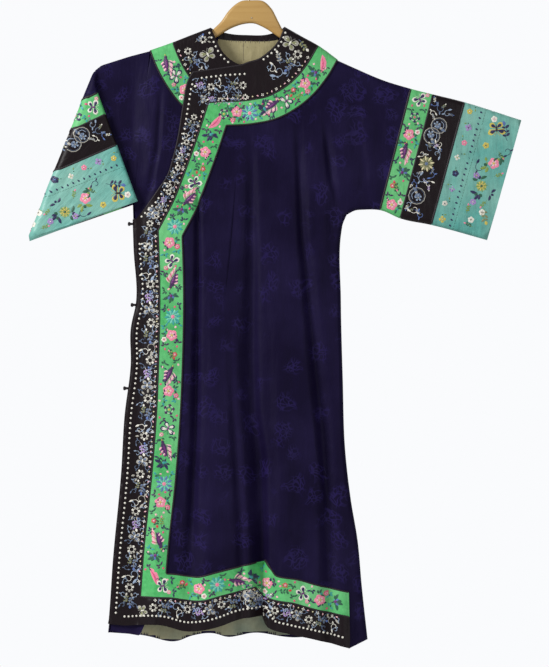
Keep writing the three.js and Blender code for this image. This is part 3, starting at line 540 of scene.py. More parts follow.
@dataclass(frozen=True)
class DepthField:
    """How far one side of the robe stands off the plane of the hanger.

    sign is -1 for the front and 1 for the back.
    """

    sign: int
    folds: tuple[Fold, ...]

    def depth(self, points: Points) -> Points:
        """Return the cloth's distance from the middle plane at each point.

        Args:
            points: Rows of x and z.

        Returns:
            One depth for each point.
        """
        x, z = points[:, 0], points[:, 1]
        distance = edge_distance(points)
        distance[distance < 0.05] = 0.0
        flat = flattening(x)
        radius = mix(EDGE_RADIUS, FOLDED_RADIUS, flat)
        rounding = np.sqrt(radius**2 - (radius - np.minimum(distance, radius)) ** 2)
        upper = mix(5.0, 8.0, np.clip((-150.0 - z) / 450.0, 0.0, 1.0))
        lower = mix(8.0, 20.0, np.clip((-600.0 - z) / 800.0, 0.0, 1.0))
        body = np.where(z > -600.0, upper, lower)
        right = mix(body, 3.0, ease((x - 190.0) / 110.0))
        full = np.where(x > 0.0, right, mix(body, 0.0, flat))
        wave = sum(fold.depth(points) for fold in self.folds)
        slack = 0.7 * np.sin(x / 19.0 + z / 260.0) * np.sin(z / 83.0 + self.sign)
        slack += 0.5 * np.sin(x / 7.4 - z / 190.0 + 2.0 * self.sign) * np.sin(z / 61.0)
        return rounding + full * ease(distance / 70.0) + (wave + slack) * ease(distance / 35.0)

    def lifted(self, points: Points, heights: Points) -> Points:
        """Place points over the cloth.

        Args:
            points: Rows of x and z, more than a millimetre from a closed edge.
            heights: How far each point stands off the cloth's outer face.

        Returns:
            Rows of x, y and z, with the left sleeve folded over.
        """
        step = 0.5
        count = len(points)
        stacked = np.vstack([points, points + [step, 0.0], points + [0.0, step]])
        depth = self.depth(stacked)
        slope_x = (depth[count : 2 * count] - depth[:count]) / step
        slope_z = (depth[2 * count :] - depth[:count]) / step
        normals = np.stack([-slope_x, np.full(count, float(self.sign)), -slope_z], axis=1)
        normals /= np.linalg.norm(normals, axis=1)[:, None]
        surface = np.stack([points[:, 0], self.sign * depth[:count], points[:, 1]], axis=1)
        return SLEEVE_FOLD.bent(surface + normals * np.asarray(heights)[:, None])


FRONT = DepthField(-1, FRONT_FOLDS)
BACK = DepthField(1, BACK_FOLDS)


def without_repeats(faces: Sequence[Sequence[int]]) -> list[list[int]]:
    """Return the faces with a corner that is named twice in a row kept once."""
    return [[p for k, p in enumerate(face) if p != face[k - 1]] for face in faces]


def ring_faces(rings: int, count: int) -> list[tuple[int, int, int, int]]:
    """Return the faces between rings of equally many points.

    Args:
        rings: How many rings there are, one after another.
        count: Points in each ring.

    Returns:
        Four point numbers for each face.
    """
    faces = []
    for i in range(rings - 1):
        for k in range(count):
            a, b = i * count + k, i * count + (k + 1) % count
            faces.append((a, b, b + count, a + count))
    return faces


def lay_flat(mesh: bpy.types.Mesh, flats: Points) -> None:
    """Give a mesh the layer of flat places that weave, floss and twist follow.

    Args:
        mesh: The mesh.
        flats: Place of each point along and across, in millimetres.
    """
    layer = mesh.uv_layers.new(name="flat_plan")
    corners = np.empty(len(mesh.loops), dtype=np.int32)
    mesh.loops.foreach_get("vertex_index", corners)
    layer.data.foreach_set("uv", (flats * MM)[corners].astype(np.float32).ravel())


def linked(name: str, data: bpy.types.ID) -> bpy.types.Object:
    """Link a new object to the scene.

    Args:
        name: Its name.
        data: The mesh, lamp or camera that it shows.

    Returns:
        The object.
    """
    item = bpy.data.objects.new(name, data)
    bpy.context.scene.collection.objects.link(item)
    return item


@dataclass
class MeshData:
    """Points in millimetres, faces and flat positions, gathered before a mesh is made."""

    points: list[Points] = field(default_factory=list)
    faces: list[Points] = field(default_factory=list)
    flats: list[Points] = field(default_factory=list)
    count: int = 0

    def add(self, points: Points, faces: Points, flats: Points) -> None:
        """Add one part, whose faces count from its own first point.

        Args:
            points: Rows of x, y and z.
            faces: Rows of point numbers.
            flats: Place of each point along and across the cloth.
        """
        self.points.append(points)
        self.faces.append(np.asarray(faces) + self.count)
        self.flats.append(flats)
        self.count += len(points)

    def built(self, name: str, material: bpy.types.Material) -> bpy.types.Object:
        """Make the object.

        Args:
            name: The piece's name.
            material: The finish of all its faces.

        Returns:
            The new object, linked to the scene.
        """
        points = np.vstack(self.points) * MM
        mesh = bpy.data.meshes.new(name)
        faces = [face for part in self.faces for face in part.tolist()]
        mesh.from_pydata(points.tolist(), [], without_repeats(faces))
        lay_flat(mesh, np.vstack(self.flats))
        mesh.materials.append(material)
        mesh.shade_smooth()
        mesh.set_sharp_from_angle(angle=math.radians(55))
        mesh.update()
        piece = linked(name, mesh)
        return piece


class Plan:
    """One side of the robe cut into triangles, with edges along every seam."""

    def __init__(
        self,
        depth_field: DepthField,
        outline: Line,
        seams: Sequence[Line],
        spacing: tuple[float, float] = (3.0, 8.0),
        drop: Optional[Callable[[Points], Points]] = None,
    ) -> None:
        """Lay out the triangles.

        Args:
            depth_field: The side's depth.
            outline: The closed outline, without its first point again.
            seams: Lines that triangles don't cross.
            spacing: Distance between points across and along the cloth.
            drop: How far the cloth lies behind the field at each point.
        """
        self.field = depth_field
        self.outline = outline
        rings = self._ring_points()
        loose = self._lattice(spacing)
        fixed = [resampled_closed(outline), *seams]
        coords: list[tuple[float, float]] = []
        edges: list[tuple[int, int]] = []
        for i, line in enumerate(fixed):
            base = len(coords)
            coords.extend(map(tuple, line.tolist()))
            edges.extend((base + k, base + k + 1) for k in range(len(line) - 1))
            if i == 0:
                edges.append((base + len(line) - 1, base))
        spots = np.vstack([rings, loose])
        spots = spots[inside(outline, spots)]
        clear = np.min([nearest_on(line, spots)[0] for line in seams], axis=0) if seams else 99.0
        spots = spots[clear > 1.5]
        coords.extend(map(tuple, spots.tolist()))
        verts, _, faces, *_ = delaunay_2d_cdt(coords, edges, [], 0, 1e-3)
        self.spots = np.array([(v[0], v[1]) for v in verts])
        triangles = np.array([face for face in faces if len(face) == 3])
        centres = self.spots[triangles].mean(axis=1)
        self.triangles = triangles[inside(outline, centres)]
        self.centres = self.spots[self.triangles].mean(axis=1)
        depth = depth_field.depth(self.spots)
        if drop is not None:
            self.drop = drop(self.spots)
        else:
            self.drop = np.zeros(len(self.spots))
        self.surface = np.stack(
            [self.spots[:, 0], depth_field.sign * depth, self.spots[:, 1]], axis=1
        )
        self.normals = self._normals()

    def _ring_points(self) -> Points:
        """Return points close beside the closed edges, where the cloth turns round.

        Returns:
            Rows of x and z.
        """
        spots = []
        for line in CLOSED_EDGES:
            for away in (0.7, 2.0, 4.0, 7.0, 10.0):
                for side in (1, -1):
                    ring = resampled(offset_line(line, side * away), 6.0)
                    spots.append(ring[1:-1])
        rings = np.vstack(spots)
        distance = edge_distance(rings)
        return rings[distance > 0.5]

    def _lattice(self, spacing: tuple[float, float]) -> Points:
        """Return staggered points over the outline, and closer ones over the sleeve's bend.

        Args:
            spacing: Distance between points across and along the cloth.

        Returns:
            Rows of x and z.
        """
        low, high = self.outline.min(axis=0), self.outline.max(axis=0)
        rows = np.arange(low[1], high[1], spacing[1])
        columns = np.arange(low[0], high[0], spacing[0])
        grid = np.array([
            (x + (spacing[0] / 2 if j % 2 else 0.0), z) for j, z in enumerate(rows) for x in columns
        ])
        run = np.array([-SLEEVE_FOLD.out[1], SLEEVE_FOLD.out[0]])
        bend = np.array([
            SLEEVE_FOLD.start + SLEEVE_FOLD.out * SLEEVE_FOLD.length * k / 7 + run * step
            for k in range(8) for step in np.arange(-450.0, 450.0, 8.0)
        ])
        grid = grid[(SLEEVE_FOLD.past(grid) < -3.0) | (SLEEVE_FOLD.past(grid) > SLEEVE_FOLD.length + 3.0)]
        spots = np.vstack([grid, bend])
        return spots[edge_distance(spots) > 12.0]

    def _normals(self) -> Points:
        """Return the outward direction at each point.

        Returns:
            One direction for each point.
        """
        a, b, c = (self.surface[self.triangles[:, k]] for k in range(3))
        faces = np.cross(b - a, c - a)
        sums = np.zeros_like(self.surface)
        for k in range(3):
            np.add.at(sums, self.triangles[:, k], faces)
        sums *= np.where(sums[:, 1:2] * self.field.sign < 0, -1.0, 1.0)
        rim = np.abs(self.surface[:, 1]) < 1e-6
        sums[rim, 1] = 0.0
        return sums / np.maximum(np.linalg.norm(sums, axis=1), 1e-9)[:, None]

    def at(self, spots: Points, height: float) -> Points:
        """Return chosen points lifted off the cloth, with the left sleeve folded over."""
        lift = height - self.drop[spots]
        return SLEEVE_FOLD.bent(self.surface[spots] + self.normals[spots] * lift[:, None])

    def shell(self, data: MeshData, chosen: Points, outer: float, inner: float) -> float:
        """Add a thin closed wall over some of the triangles.

        Args:
            data: Where the wall goes.
            chosen: Which triangles it covers.
            outer: Height of its outer face.
            inner: Height of its inner face.

        Returns:
            The area of its outer face in square metres.
        """
        triangles = self.triangles[chosen]
        used, flat = np.unique(triangles, return_inverse=True)
        triangles = flat.reshape(triangles.shape)
        if self.field.sign > 0:
            triangles = triangles[:, ::-1]
        top, bottom = self.at(used, outer), self.at(used, inner)
        count = len(used)
        sides = np.vstack([triangles[:, [0, 1]], triangles[:, [1, 2]], triangles[:, [2, 0]]])
        keys = {(a, b) for a, b in sides.tolist()}
        rim = np.array([(a, b) for a, b in keys if (b, a) not in keys])
        walls = np.stack([
            np.stack([rim[:, 0], rim[:, 0] + count, rim[:, 1] + count], axis=1),
            np.stack([rim[:, 0], rim[:, 1] + count, rim[:, 1]], axis=1),
        ]).reshape(-1, 3)
        faces = np.vstack([triangles, triangles[:, ::-1] + count, walls])
        data.add(np.vstack([top, bottom]), faces, np.vstack([self.spots[used]] * 2))
        a, b, c = (top[triangles[:, k]] for k in range(3))
        return float(np.linalg.norm(np.cross(b - a, c - a), axis=1).sum() / 2) * MM * MM


def resampled_closed(outline: Line) -> Line:
    """Return a closed outline without points that lie on each other."""
    gaps = np.linalg.norm(outline - np.roll(outline, 1, axis=0), axis=1)
    return outline[gaps > 0.01]


def body_outline(neck: Line, hem: Line) -> Line:
    """Return one side's outline with both sleeves, counted from the left cuff's lower corner.

    Args:
        neck: The neck's line.
        hem: The hem's line.

    Returns:
        The closed outline.
    """
    side_left = SIDE_LEFT[SIDE_LEFT[:, 1] > hem[0][1] + 1e-6]
    side_right = SIDE_RIGHT[SIDE_RIGHT[:, 1] > -1402.0 + 1e-6]
    closing = line_of((249, -1402))
    return np.vstack([
        SLEEVE_LEFT_TOP[::-1], SHOULDER_LEFT[1:], neck[1:], SHOULDER_RIGHT[1:], SLEEVE_RIGHT_TOP[1:],
        SLEEVE_RIGHT_BOTTOM[::-1], side_right[1:], closing, hem[::-1], side_left[::-1],
        SLEEVE_LEFT_BOTTOM[1:],
    ])


def wrap_seam() -> Line:
    """Return the seam beside the wearer's left side, where the back comes round to the front.

    Returns:
        Rows of x and z.
    """
    shares = np.array([0.0, 0.2, 0.4, 0.9, 1.0])
    widths = np.array([39.0, 24.0, 8.0, 7.0, 0.0])
    steps = np.linspace(0.0, 1.0, 120)
    z = mix(-1419.0, -511.0, steps)
    x = look_up(SIDE_RIGHT, z, 1) - np.interp(steps, shares, widths)
    return np.stack([x, z], axis=1)


@dataclass(frozen=True)
class SleeveLines:
    """Places on a sleeve by their distance from the cuff's edge.

    low_share shortens the distances on the underarm line, where the bands lie slanted.
    """

    top: Line
    bottom: Line
    low_share: float
    armhole: Line

    def cross_line(self, distance: float) -> Line:
        """Return the line over the sleeve at a distance from the cuff, from the underarm up.

        Args:
            distance: Distance from the cuff's open end.

        Returns:
            The line across the sleeve.
        """
        low = along(self.bottom, length_of(self.bottom) - distance * self.low_share)
        high = along(self.top, length_of(self.top) - distance)
        return resampled(np.stack([low, high]), 6.0)

    def beyond(self, distance: float, points: Points) -> Points:
        """Return which points lie between a cross line and the cuff.

        Args:
            distance: Distance from the cuff's open end.
            points: Rows of x and z.

        Returns:
            One truth value for each point.
        """
        line = self.cross_line(distance)
        outward = 2 * line.mean(axis=0) - self.cross_line(distance + 20.0).mean(axis=0)
        side = left_of(line[0], line[-1], outward[None])[0]
        return left_of(line[0], line[-1], points) == side

    def within(self, points: Points) -> Points:
        """Return which points lie on the sleeve, past the armhole.

        Args:
            points: Rows of x and z.

        Returns:
            One truth value for each point.
        """
        side = left_of(self.armhole[0], self.armhole[1], self.cross_line(0.0).mean(axis=0)[None])[0]
        low = np.minimum(self.armhole[:, 1].min(), -600.0)
        return (left_of(self.armhole[0], self.armhole[1], points) == side) & (points[:, 1] > low)

    def seams(self) -> list[Line]:
        """Return the armhole and the seams between the bands."""
        return [resampled(self.armhole, 6.0), *(self.cross_line(edge) for edge in SLEEVE_EDGES)]


RIGHT_SLEEVE = SleeveLines(
    SLEEVE_RIGHT_TOP, SLEEVE_RIGHT_BOTTOM, 0.97, line_of((205, -511), (187, -187))
)
LEFT_SLEEVE = SleeveLines(
    SLEEVE_LEFT_TOP, SLEEVE_LEFT_BOTTOM, 0.86, line_of((-244, -490), (-208, -167))
)


def before_wrap(points: Points) -> Points:
    """Return which points lie on the front's side of the seam where the back comes round."""
    return (points[:, 0] < look_up(wrap_seam(), points[:, 1], 1)) | (points[:, 1] > -511.0)


def past_overlap(points: Points) -> Points:
    """Return which points lie past the flap's edge, where the under front shows."""
    corner = line_of((-270, -530), (-400, -530), (-400, -60), (-17, -60))
    return inside(np.vstack([OVERLAP_EDGE, corner]), points)


def away_from_edges(points: Points) -> Points:
    """Return which points keep clear of the sides, shoulders and sleeve edges."""
    return edge_distance(points) > 1.2


def before_fold(points: Points) -> Points:
    """Return which points lie on the body's side of the left sleeve's fold."""
    return away_from_edges(points) & (SLEEVE_FOLD.past(points) < -2.0)


def on_outer_front(points: Points) -> Points:
    """Return which points lie on the outer front, clear of its closed edges.

    Args:
        points: Rows of x and z.

    Returns:
        One truth value for each point.
    """
    whole = inside(body_outline(FRONT_NECK, FRONT_HEM), points) & away_from_edges(points)
    sleeves = RIGHT_SLEEVE.within(points) | LEFT_SLEEVE.within(points)
    return whole & ~sleeves & before_wrap(points) & ~past_overlap(points)


def beside_ribbon(points: Points) -> Points:
    """Return which points of the outer front don't lie on its ribbon."""
    return on_outer_front(points) & (nearest_on(RIBBON_FRONT, points)[0] > HALF_RIBBON - 0.6)


def on_under_front(points: Points) -> Points:
    """Return which points lie on the under front's trimmed corner, beside the flap's edge.

    Args:
        points: Rows of x and z.

    Returns:
        One truth value for each point.
    """
    whole = inside(body_outline(FRONT_NECK, FRONT_HEM), points) & away_from_edges(points)
    distance = nearest_on(OVERLAP_EDGE, points)[0]
    near = past_overlap(points) | (distance < 21.0)
    return whole & near & (points[:, 1] > -428.0) & ~LEFT_SLEEVE.within(points)


def on_back(points: Points) -> Points:
    """Return which points lie on the back, clear of its closed edges."""
    whole = inside(body_outline(BACK_NECK, BACK_HEM), points) & away_from_edges(points)
    return whole & ~RIGHT_SLEEVE.within(points) & ~LEFT_SLEEVE.within(points)


def under_drop(points: Points) -> Points:
    """Return how far the under front lies behind the outer one: more where that covers it.

    Args:
        points: Rows of x and z.

    Returns:
        One distance for each point.
    """
    distance, _, _, side = nearest_on(OVERLAP_EDGE, points)
    covered = (side > 0) | (points[:, 1] < -520.0)
    behind = np.where(covered, distance, -distance)
    return UNDER_DROP * ease((behind + 45.0) / 40.0)


def colour(code: str) -> tuple[float, float, float, float]:
    """Turn an sRGB hex value to linear colour.

    Args:
        code: The colour as sRGB hex.

    Returns:
        Linear red, green and blue, and 1.
    """
    values = [int(code[i : i + 2], 16) / 255.0 for i in (1, 3, 5)]
    linear = [v / 12.92 if v <= 0.04045 else ((v + 0.055) / 1.055) ** 2.4 for v in values]
    return (*linear, 1.0)


def add_node(
    tree: bpy.types.NodeTree,
    kind: str,
    settings: Optional[dict] = None,
    values: Optional[dict] = None,
    links: Optional[dict] = None,
) -> bpy.types.Node:
    """Add a shader node.

    Args:
        tree: The material's node tree.
        kind: The node's type name.
        settings: Properties of the node.
        values: Input values by socket name or index.
        links: Output sockets that feed inputs, by socket name or index.

    Returns:
        The new node.
    """
    made = tree.nodes.new(kind)
    for key, value in (settings or {}).items():
        setattr(made, key, value)
    for key, value in (values or {}).items():
        made.inputs[key].default_value = value
    for key, source in (links or {}).items():
        tree.links.new(source, made.inputs[key])
    return made


def new_material(name: str) -> tuple[bpy.types.Material, bpy.types.NodeTree]:
    """Return a material with an empty node tree.

    Args:
        name: Its name.

    Returns:
        The material and its nodes.
    """
    material = bpy.data.materials.new(name)
    material.use_nodes = True
    material.node_tree.nodes.clear()
    return material, material.node_tree


def finish_tree(tree: bpy.types.NodeTree, shader: bpy.types.Node) -> None:
    """Join a shader to the material's output."""
    out = add_node(tree, "ShaderNodeOutputMaterial")
    tree.links.new(shader.outputs[0], out.inputs["Surface"])


@dataclass(frozen=True)
class WovenSilk:
    """A silk cloth with a visible weave.

    ground and figure are its two tones, and thread is the spacing of its drawn ribs in millimetres.
    figure_size is the size of the woven figures in millimetres, or 0 for a plain cloth. gloss is how
    bright its sheen is, and wrinkle how deep its small creases look.
    """

    name: str
    ground: str
    figure: str
    roughness: float
    gloss: float
    sheen: float
    thread: float = 1.6
    figure_size: float = 0.0
    wrinkle: float = 0.3
    # Second tone and its greatest share in soft patches: paler painted light on the navy, the green ribbon
    # and the turquoise, wear and fading on the linings
    worn_and_lit_tone: str = "#8a8a90"
    wear_and_lit_share: float = 0.05

    def _figures(self, tree: bpy.types.NodeTree, place: bpy.types.NodeSocket) -> bpy.types.NodeSocket:
        """Return a mask of woven flowers with broken petals.

        Args:
            tree: The material's nodes.
            place: The cloth's flat place.

        Returns:
            The mask's socket.
        """
        # The real figures repeat after some 120 mm; these are scattered, at their true size
        drift = add_node(
            tree, "ShaderNodeTexNoise", {}, {"Scale": 620.0 / self.figure_size, "Detail": 2.0},
            {"Vector": place},
        )
        bent = add_node(
            tree, "ShaderNodeVectorMath", {"operation": "MULTIPLY_ADD"}, {1: (0.05, 0.05, 0.0)},
            {0: drift.outputs["Color"], 2: place},
        )
        flower = add_node(
            tree, "ShaderNodeTexVoronoi", {"feature": "F1"},
            {"Scale": 1000.0 / (1.9 * self.figure_size), "Randomness": 0.7}, {"Vector": bent.outputs[0]},
        )
        petal = add_node(
            tree, "ShaderNodeTexVoronoi", {"feature": "DISTANCE_TO_EDGE"},
            {"Scale": 3000.0 / self.figure_size, "Randomness": 1.0}, {"Vector": bent.outputs[0]},
        )
        blob = add_node(
            tree, "ShaderNodeMapRange", {"interpolation_type": "SMOOTHSTEP"},
            {"From Min": 0.5, "From Max": 0.3, "To Min": 0.0, "To Max": 0.8},
            {"Value": flower.outputs["Distance"]},
        )
        cut = add_node(
            tree, "ShaderNodeMapRange", {"interpolation_type": "SMOOTHSTEP"},
            {"From Min": 0.16, "From Max": 0.02}, {"Value": petal.outputs["Distance"]},
        )
        both = add_node(
            tree, "ShaderNodeMath", {"operation": "MULTIPLY"}, {}, {0: blob.outputs[0], 1: cut.outputs[0]}
        )
        return both.outputs[0]

    def made(self) -> bpy.types.Material:
        """Return the material: ribs and figures from the loom, small creases, and soft patches of a second
        tone, which are painted light on the navy, the ribbon and the turquoise, and wear on the linings.

        Returns:
            The material.
        """
        material, tree = new_material(self.name)
        place = add_node(tree, "ShaderNodeUVMap", {"uv_map": "flat_plan"}).outputs[0]
        # Threads are some 0.2 mm apart in the real silk; these are drawn coarser so that they show
        rib = add_node(
            tree, "ShaderNodeTexWave", {"bands_direction": "Y"},
            {"Scale": 314.0 / self.thread, "Distortion": 1.2, "Detail": 1.0}, {"Vector": place},
        )
        slub = add_node(
            tree, "ShaderNodeTexNoise", {}, {"Scale": 90.0, "Detail": 5.0, "Roughness": 0.7},
            {"Vector": place},
        )
        if self.figure_size:
            mask = self._figures(tree, place)
        else:
            mask = slub.outputs[0]
        tone = add_node(
            tree, "ShaderNodeMix", {"data_type": "RGBA"},
            {6: colour(self.ground), 7: colour(self.figure)}, {0: mask},
        )
        # Soft patches towards the second tone: painted light where that tone is paler, on the navy, the
        # ribbon and the turquoise; wear and fading on the linings
        patches = add_node(
            tree, "ShaderNodeTexNoise", {}, {"Scale": 6.0, "Detail": 4.0, "Roughness": 0.55},
            {"Vector": place},
        )
        wear_and_lit_patches = add_node(
            tree, "ShaderNodeMapRange", {}, {"From Min": 0.4, "From Max": 0.8, "To Max": self.wear_and_lit_share},
            {"Value": patches.outputs[0]},
        )
        tone = add_node(
            tree, "ShaderNodeMix", {"data_type": "RGBA"}, {7: colour(self.worn_and_lit_tone)},
            {0: wear_and_lit_patches.outputs[0], 6: tone.outputs[2]},
        )
        stretched = add_node(
            tree, "ShaderNodeVectorMath", {"operation": "MULTIPLY"}, {1: (42.0, 11.0, 1.0)}, {0: place}
        )
        crease = add_node(
            tree, "ShaderNodeTexNoise", {}, {"Scale": 1.0, "Detail": 3.0}, {"Vector": stretched.outputs[0]}
        )
        creased = add_node(
            tree, "ShaderNodeBump", {}, {"Strength": self.wrinkle, "Distance": 0.006},
            {"Height": crease.outputs[0]},
        )
        ribbed = add_node(
            tree, "ShaderNodeBump", {}, {"Strength": 0.12, "Distance": 0.0004},
            {"Height": rib.outputs["Fac"], "Normal": creased.outputs[0]},
        )
        shine = add_node(
            tree, "ShaderNodeMapRange", {},
            {"To Min": self.roughness + 0.08, "To Max": self.roughness - 0.08}, {"Value": mask},
        )
        shader = add_node(
            tree, "ShaderNodeBsdfPrincipled", {},
            {
                "Specular IOR Level": self.gloss, "Sheen Weight": self.sheen, "Sheen Roughness": 0.35,
                "Sheen Tint": colour(self.figure),
            },
            {"Base Color": tone.outputs[2], "Roughness": shine.outputs[0], "Normal": ribbed.outputs[0]},
        )
        finish_tree(tree, shader)
        return material


@dataclass(frozen=True)
class SilkFloss:
    """Untwisted embroidery silk in one colour."""

    thread: "Thread"

    def made(self) -> bpy.types.Material:
        """Return the material: fine strands side by side, whose tone varies a little.

        Returns:
            The material.
        """
        material, tree = new_material("silk_floss_" + self.thread.name.lower())
        place = add_node(tree, "ShaderNodeUVMap", {"uv_map": "flat_plan"}).outputs[0]
        # Floss strands are about 0.3 mm; drawn at 0.6 mm so that they still show from near by
        strand = add_node(
            tree, "ShaderNodeTexWave", {"bands_direction": "Y"}, {"Scale": 520.0, "Distortion": 0.8},
            {"Vector": place},
        )
        shade = add_node(tree, "ShaderNodeTexNoise", {}, {"Scale": 160.0, "Detail": 2.0}, {"Vector": place})
        base = colour(self.thread.value)
        deep = tuple(0.72 * value for value in base[:3]) + (1.0,)
        tone = add_node(
            tree, "ShaderNodeMix", {"data_type": "RGBA"}, {6: deep, 7: base}, {0: shade.outputs[0]}
        )
        bump = add_node(
            tree, "ShaderNodeBump", {}, {"Strength": 0.3, "Distance": 0.0003},
            {"Height": strand.outputs["Fac"]},
        )
        shader = add_node(
            tree, "ShaderNodeBsdfPrincipled", {},
            {"Roughness": 0.42, "Specular IOR Level": 0.45, "Sheen Weight": 0.08},
            {"Base Color": tone.outputs[2], "Normal": bump.outputs[0]},
        )
        finish_tree(tree, shader)
        return material


@dataclass(frozen=True)
class TwistedCord:
    """Black silk cord and folded silk strip, as used for piping and knots."""

    name: str = "twisted_silk_cord"
    tone: str = "#120d12"
    light: str = "#2a2228"

    def made(self) -> bpy.types.Material:
        """Return the material: slanting strands that catch a dull light.

        Returns:
            The material.
        """
        material, tree = new_material(self.name)
        place = add_node(tree, "ShaderNodeUVMap", {"uv_map": "flat_plan"}).outputs[0]
        twist = add_node(
            tree, "ShaderNodeTexWave", {"bands_direction": "DIAGONAL"}, {"Scale": 150.0, "Distortion": 0.6},
            {"Vector": place},
        )
        tone = add_node(
            tree, "ShaderNodeMix", {"data_type": "RGBA"},
            {6: colour(self.tone), 7: colour(self.light)}, {0: twist.outputs["Fac"]},
        )
        bump = add_node(
            tree, "ShaderNodeBump", {}, {"Strength": 0.4, "Distance": 0.0005},
            {"Height": twist.outputs["Fac"]},
        )
        shader = add_node(
            tree, "ShaderNodeBsdfPrincipled", {}, {"Roughness": 0.55, "Specular IOR Level": 0.3},
            {"Base Color": tone.outputs[2], "Normal": bump.outputs[0]},
        )
        finish_tree(tree, shader)
        return material


@dataclass(frozen=True)
class OiledWood:
    """Pale sawn wood with an old oil finish."""

    name: str = "oiled_pale_wood"
    early: str = "#bd9a5c"
    late: str = "#9c7436"

    def made(self) -> bpy.types.Material:
        """Return the material: long grain with fine pores under a soft gloss.

        Returns:
            The material.
        """
        material, tree = new_material(self.name)
        place = add_node(tree, "ShaderNodeTexCoord").outputs["Object"]
        long = add_node(
            tree, "ShaderNodeVectorMath", {"operation": "MULTIPLY"}, {1: (4.0, 60.0, 85.0)}, {0: place}
        )
        grain = add_node(
            tree, "ShaderNodeTexNoise", {}, {"Scale": 1.0, "Detail": 6.0, "Distortion": 0.8},
            {"Vector": long.outputs[0]},
        )
        pores = add_node(
            tree, "ShaderNodeTexNoise", {}, {"Scale": 9.0, "Detail": 3.0}, {"Vector": long.outputs[0]}
        )
        tone = add_node(
            tree, "ShaderNodeMix", {"data_type": "RGBA"},
            {6: colour(self.late), 7: colour(self.early)}, {0: grain.outputs[0]},
        )
        bump = add_node(
            tree, "ShaderNodeBump", {}, {"Strength": 0.15, "Distance": 0.0004}, {"Height": pores.outputs[0]}
        )
        shine = add_node(
            tree, "ShaderNodeMapRange", {}, {"To Min": 0.3, "To Max": 0.5}, {"Value": pores.outputs[0]}
        )
        shader = add_node(
            tree, "ShaderNodeBsdfPrincipled", {}, {"Coat Weight": 0.25, "Coat Roughness": 0.25},
            {"Base Color": tone.outputs[2], "Roughness": shine.outputs[0], "Normal": bump.outputs[0]},
        )
        finish_tree(tree, shader)
        return material


@dataclass(frozen=True)
class DrawnSteel:
    """Bare steel that was drawn to wire or a nail."""

    name: str = "drawn_steel_wire"
    bright: str = "#b8b8b6"
    dull: str = "#86847f"

    def made(self) -> bpy.types.Material:
        """Return the material: long draw marks and a little tarnish.

        Returns:
            The material.
        """
        material, tree = new_material(self.name)
        place = add_node(tree, "ShaderNodeTexCoord").outputs["Object"]
        spots = add_node(tree, "ShaderNodeTexNoise", {}, {"Scale": 240.0, "Detail": 4.0}, {"Vector": place})
        tone = add_node(
            tree, "ShaderNodeMix", {"data_type": "RGBA"},
            {6: colour(self.dull), 7: colour(self.bright)}, {0: spots.outputs[0]},
        )
        shine = add_node(
            tree, "ShaderNodeMapRange", {}, {"To Min": 0.45, "To Max": 0.22}, {"Value": spots.outputs[0]}
        )
        shader = add_node(
            tree, "ShaderNodeBsdfPrincipled", {}, {"Metallic": 1.0},
            {"Base Color": tone.outputs[2], "Roughness": shine.outputs[0]},
        )
        finish_tree(tree, shader)
        return material


def declare(piece: bpy.types.Object, nodes: Sequence[str]) -> bpy.types.Object:
    """Let a piece ride on the robe and stand for its solids.

    Args:
        piece: The piece.
        nodes: The solids that it stands for.

    Returns:
        The same piece.
    """
    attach(piece, "root")
    if nodes:
        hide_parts(*nodes)
    return piece


class Thread(Enum):
    """Dyed silk floss, by its colour in hex."""

    WHITE = "#e9e6da"
    CREAM = "#d6cda2"
    GREY_BLUE = "#93a5bd"
    BLUE = "#5570ad"
    NAVY = "#1c1c4e"
    TEAL = "#2f9d9b"
    SEA_GREEN = "#6fc9b2"
    LEAF = "#1f5a42"
    MOSS = "#7f9a45"
    YELLOW = "#cdbd55"
    PINK = "#ef86a4"
    ROSE = "#d9507e"
    PALE_PINK = "#f2bcc4"
    RED = "#c9423f"
    PURPLE = "#6d1c72"
    PLUM = "#3d1450"
    LILAC = "#a58ac4"
    UMBER = "#5a4c34"
    ASH = "#a9a69c"
    SLATE = "#5d6f8c"
    OLIVE = "#84875f"
    BLACK = "#17131a"


@dataclass(frozen=True)
class Spot:
    """A place on the plan for a motif: its middle, and its turn and scale, as complex numbers."""

    middle: complex
    turn: complex = 1.0 + 0.0j

    def moved(self, offset: complex, angle: float = 0.0, scale: float = 1.0) -> "Spot":
        """Return a spot beside this one, turned by an angle in degrees."""
        spin = scale * complex(math.cos(math.radians(angle)), math.sin(math.radians(angle)))
        return Spot(self.middle + self.turn * offset, self.turn * spin)


class Course:
    """A line that motifs follow."""

    def __init__(self, line: Line) -> None:
        """Keep the line with even steps."""
        self.line = resampled(line, 2.0)
        self.length = length_of(self.line)

    def spot(self, distance: float, aside: float = 0.0, angle: float = 0.0) -> Spot:
        """Return a spot along the line.

        Args:
            distance: Distance from the line's start.
            aside: Distance to the left of the line.
            angle: Turn from the line's direction, in degrees.

        Returns:
            The spot, whose x axis runs along the line.
        """
        distance = min(max(distance, 0.0), self.length)
        here = along(self.line, distance)
        ahead = along(self.line, min(distance + 4.0, self.length))
        behind = along(self.line, max(distance - 4.0, 0.0))
        way = complex(*(ahead - behind))
        way /= abs(way)
        return Spot(complex(*here) + 1j * way * aside, way).moved(0.0, angle)


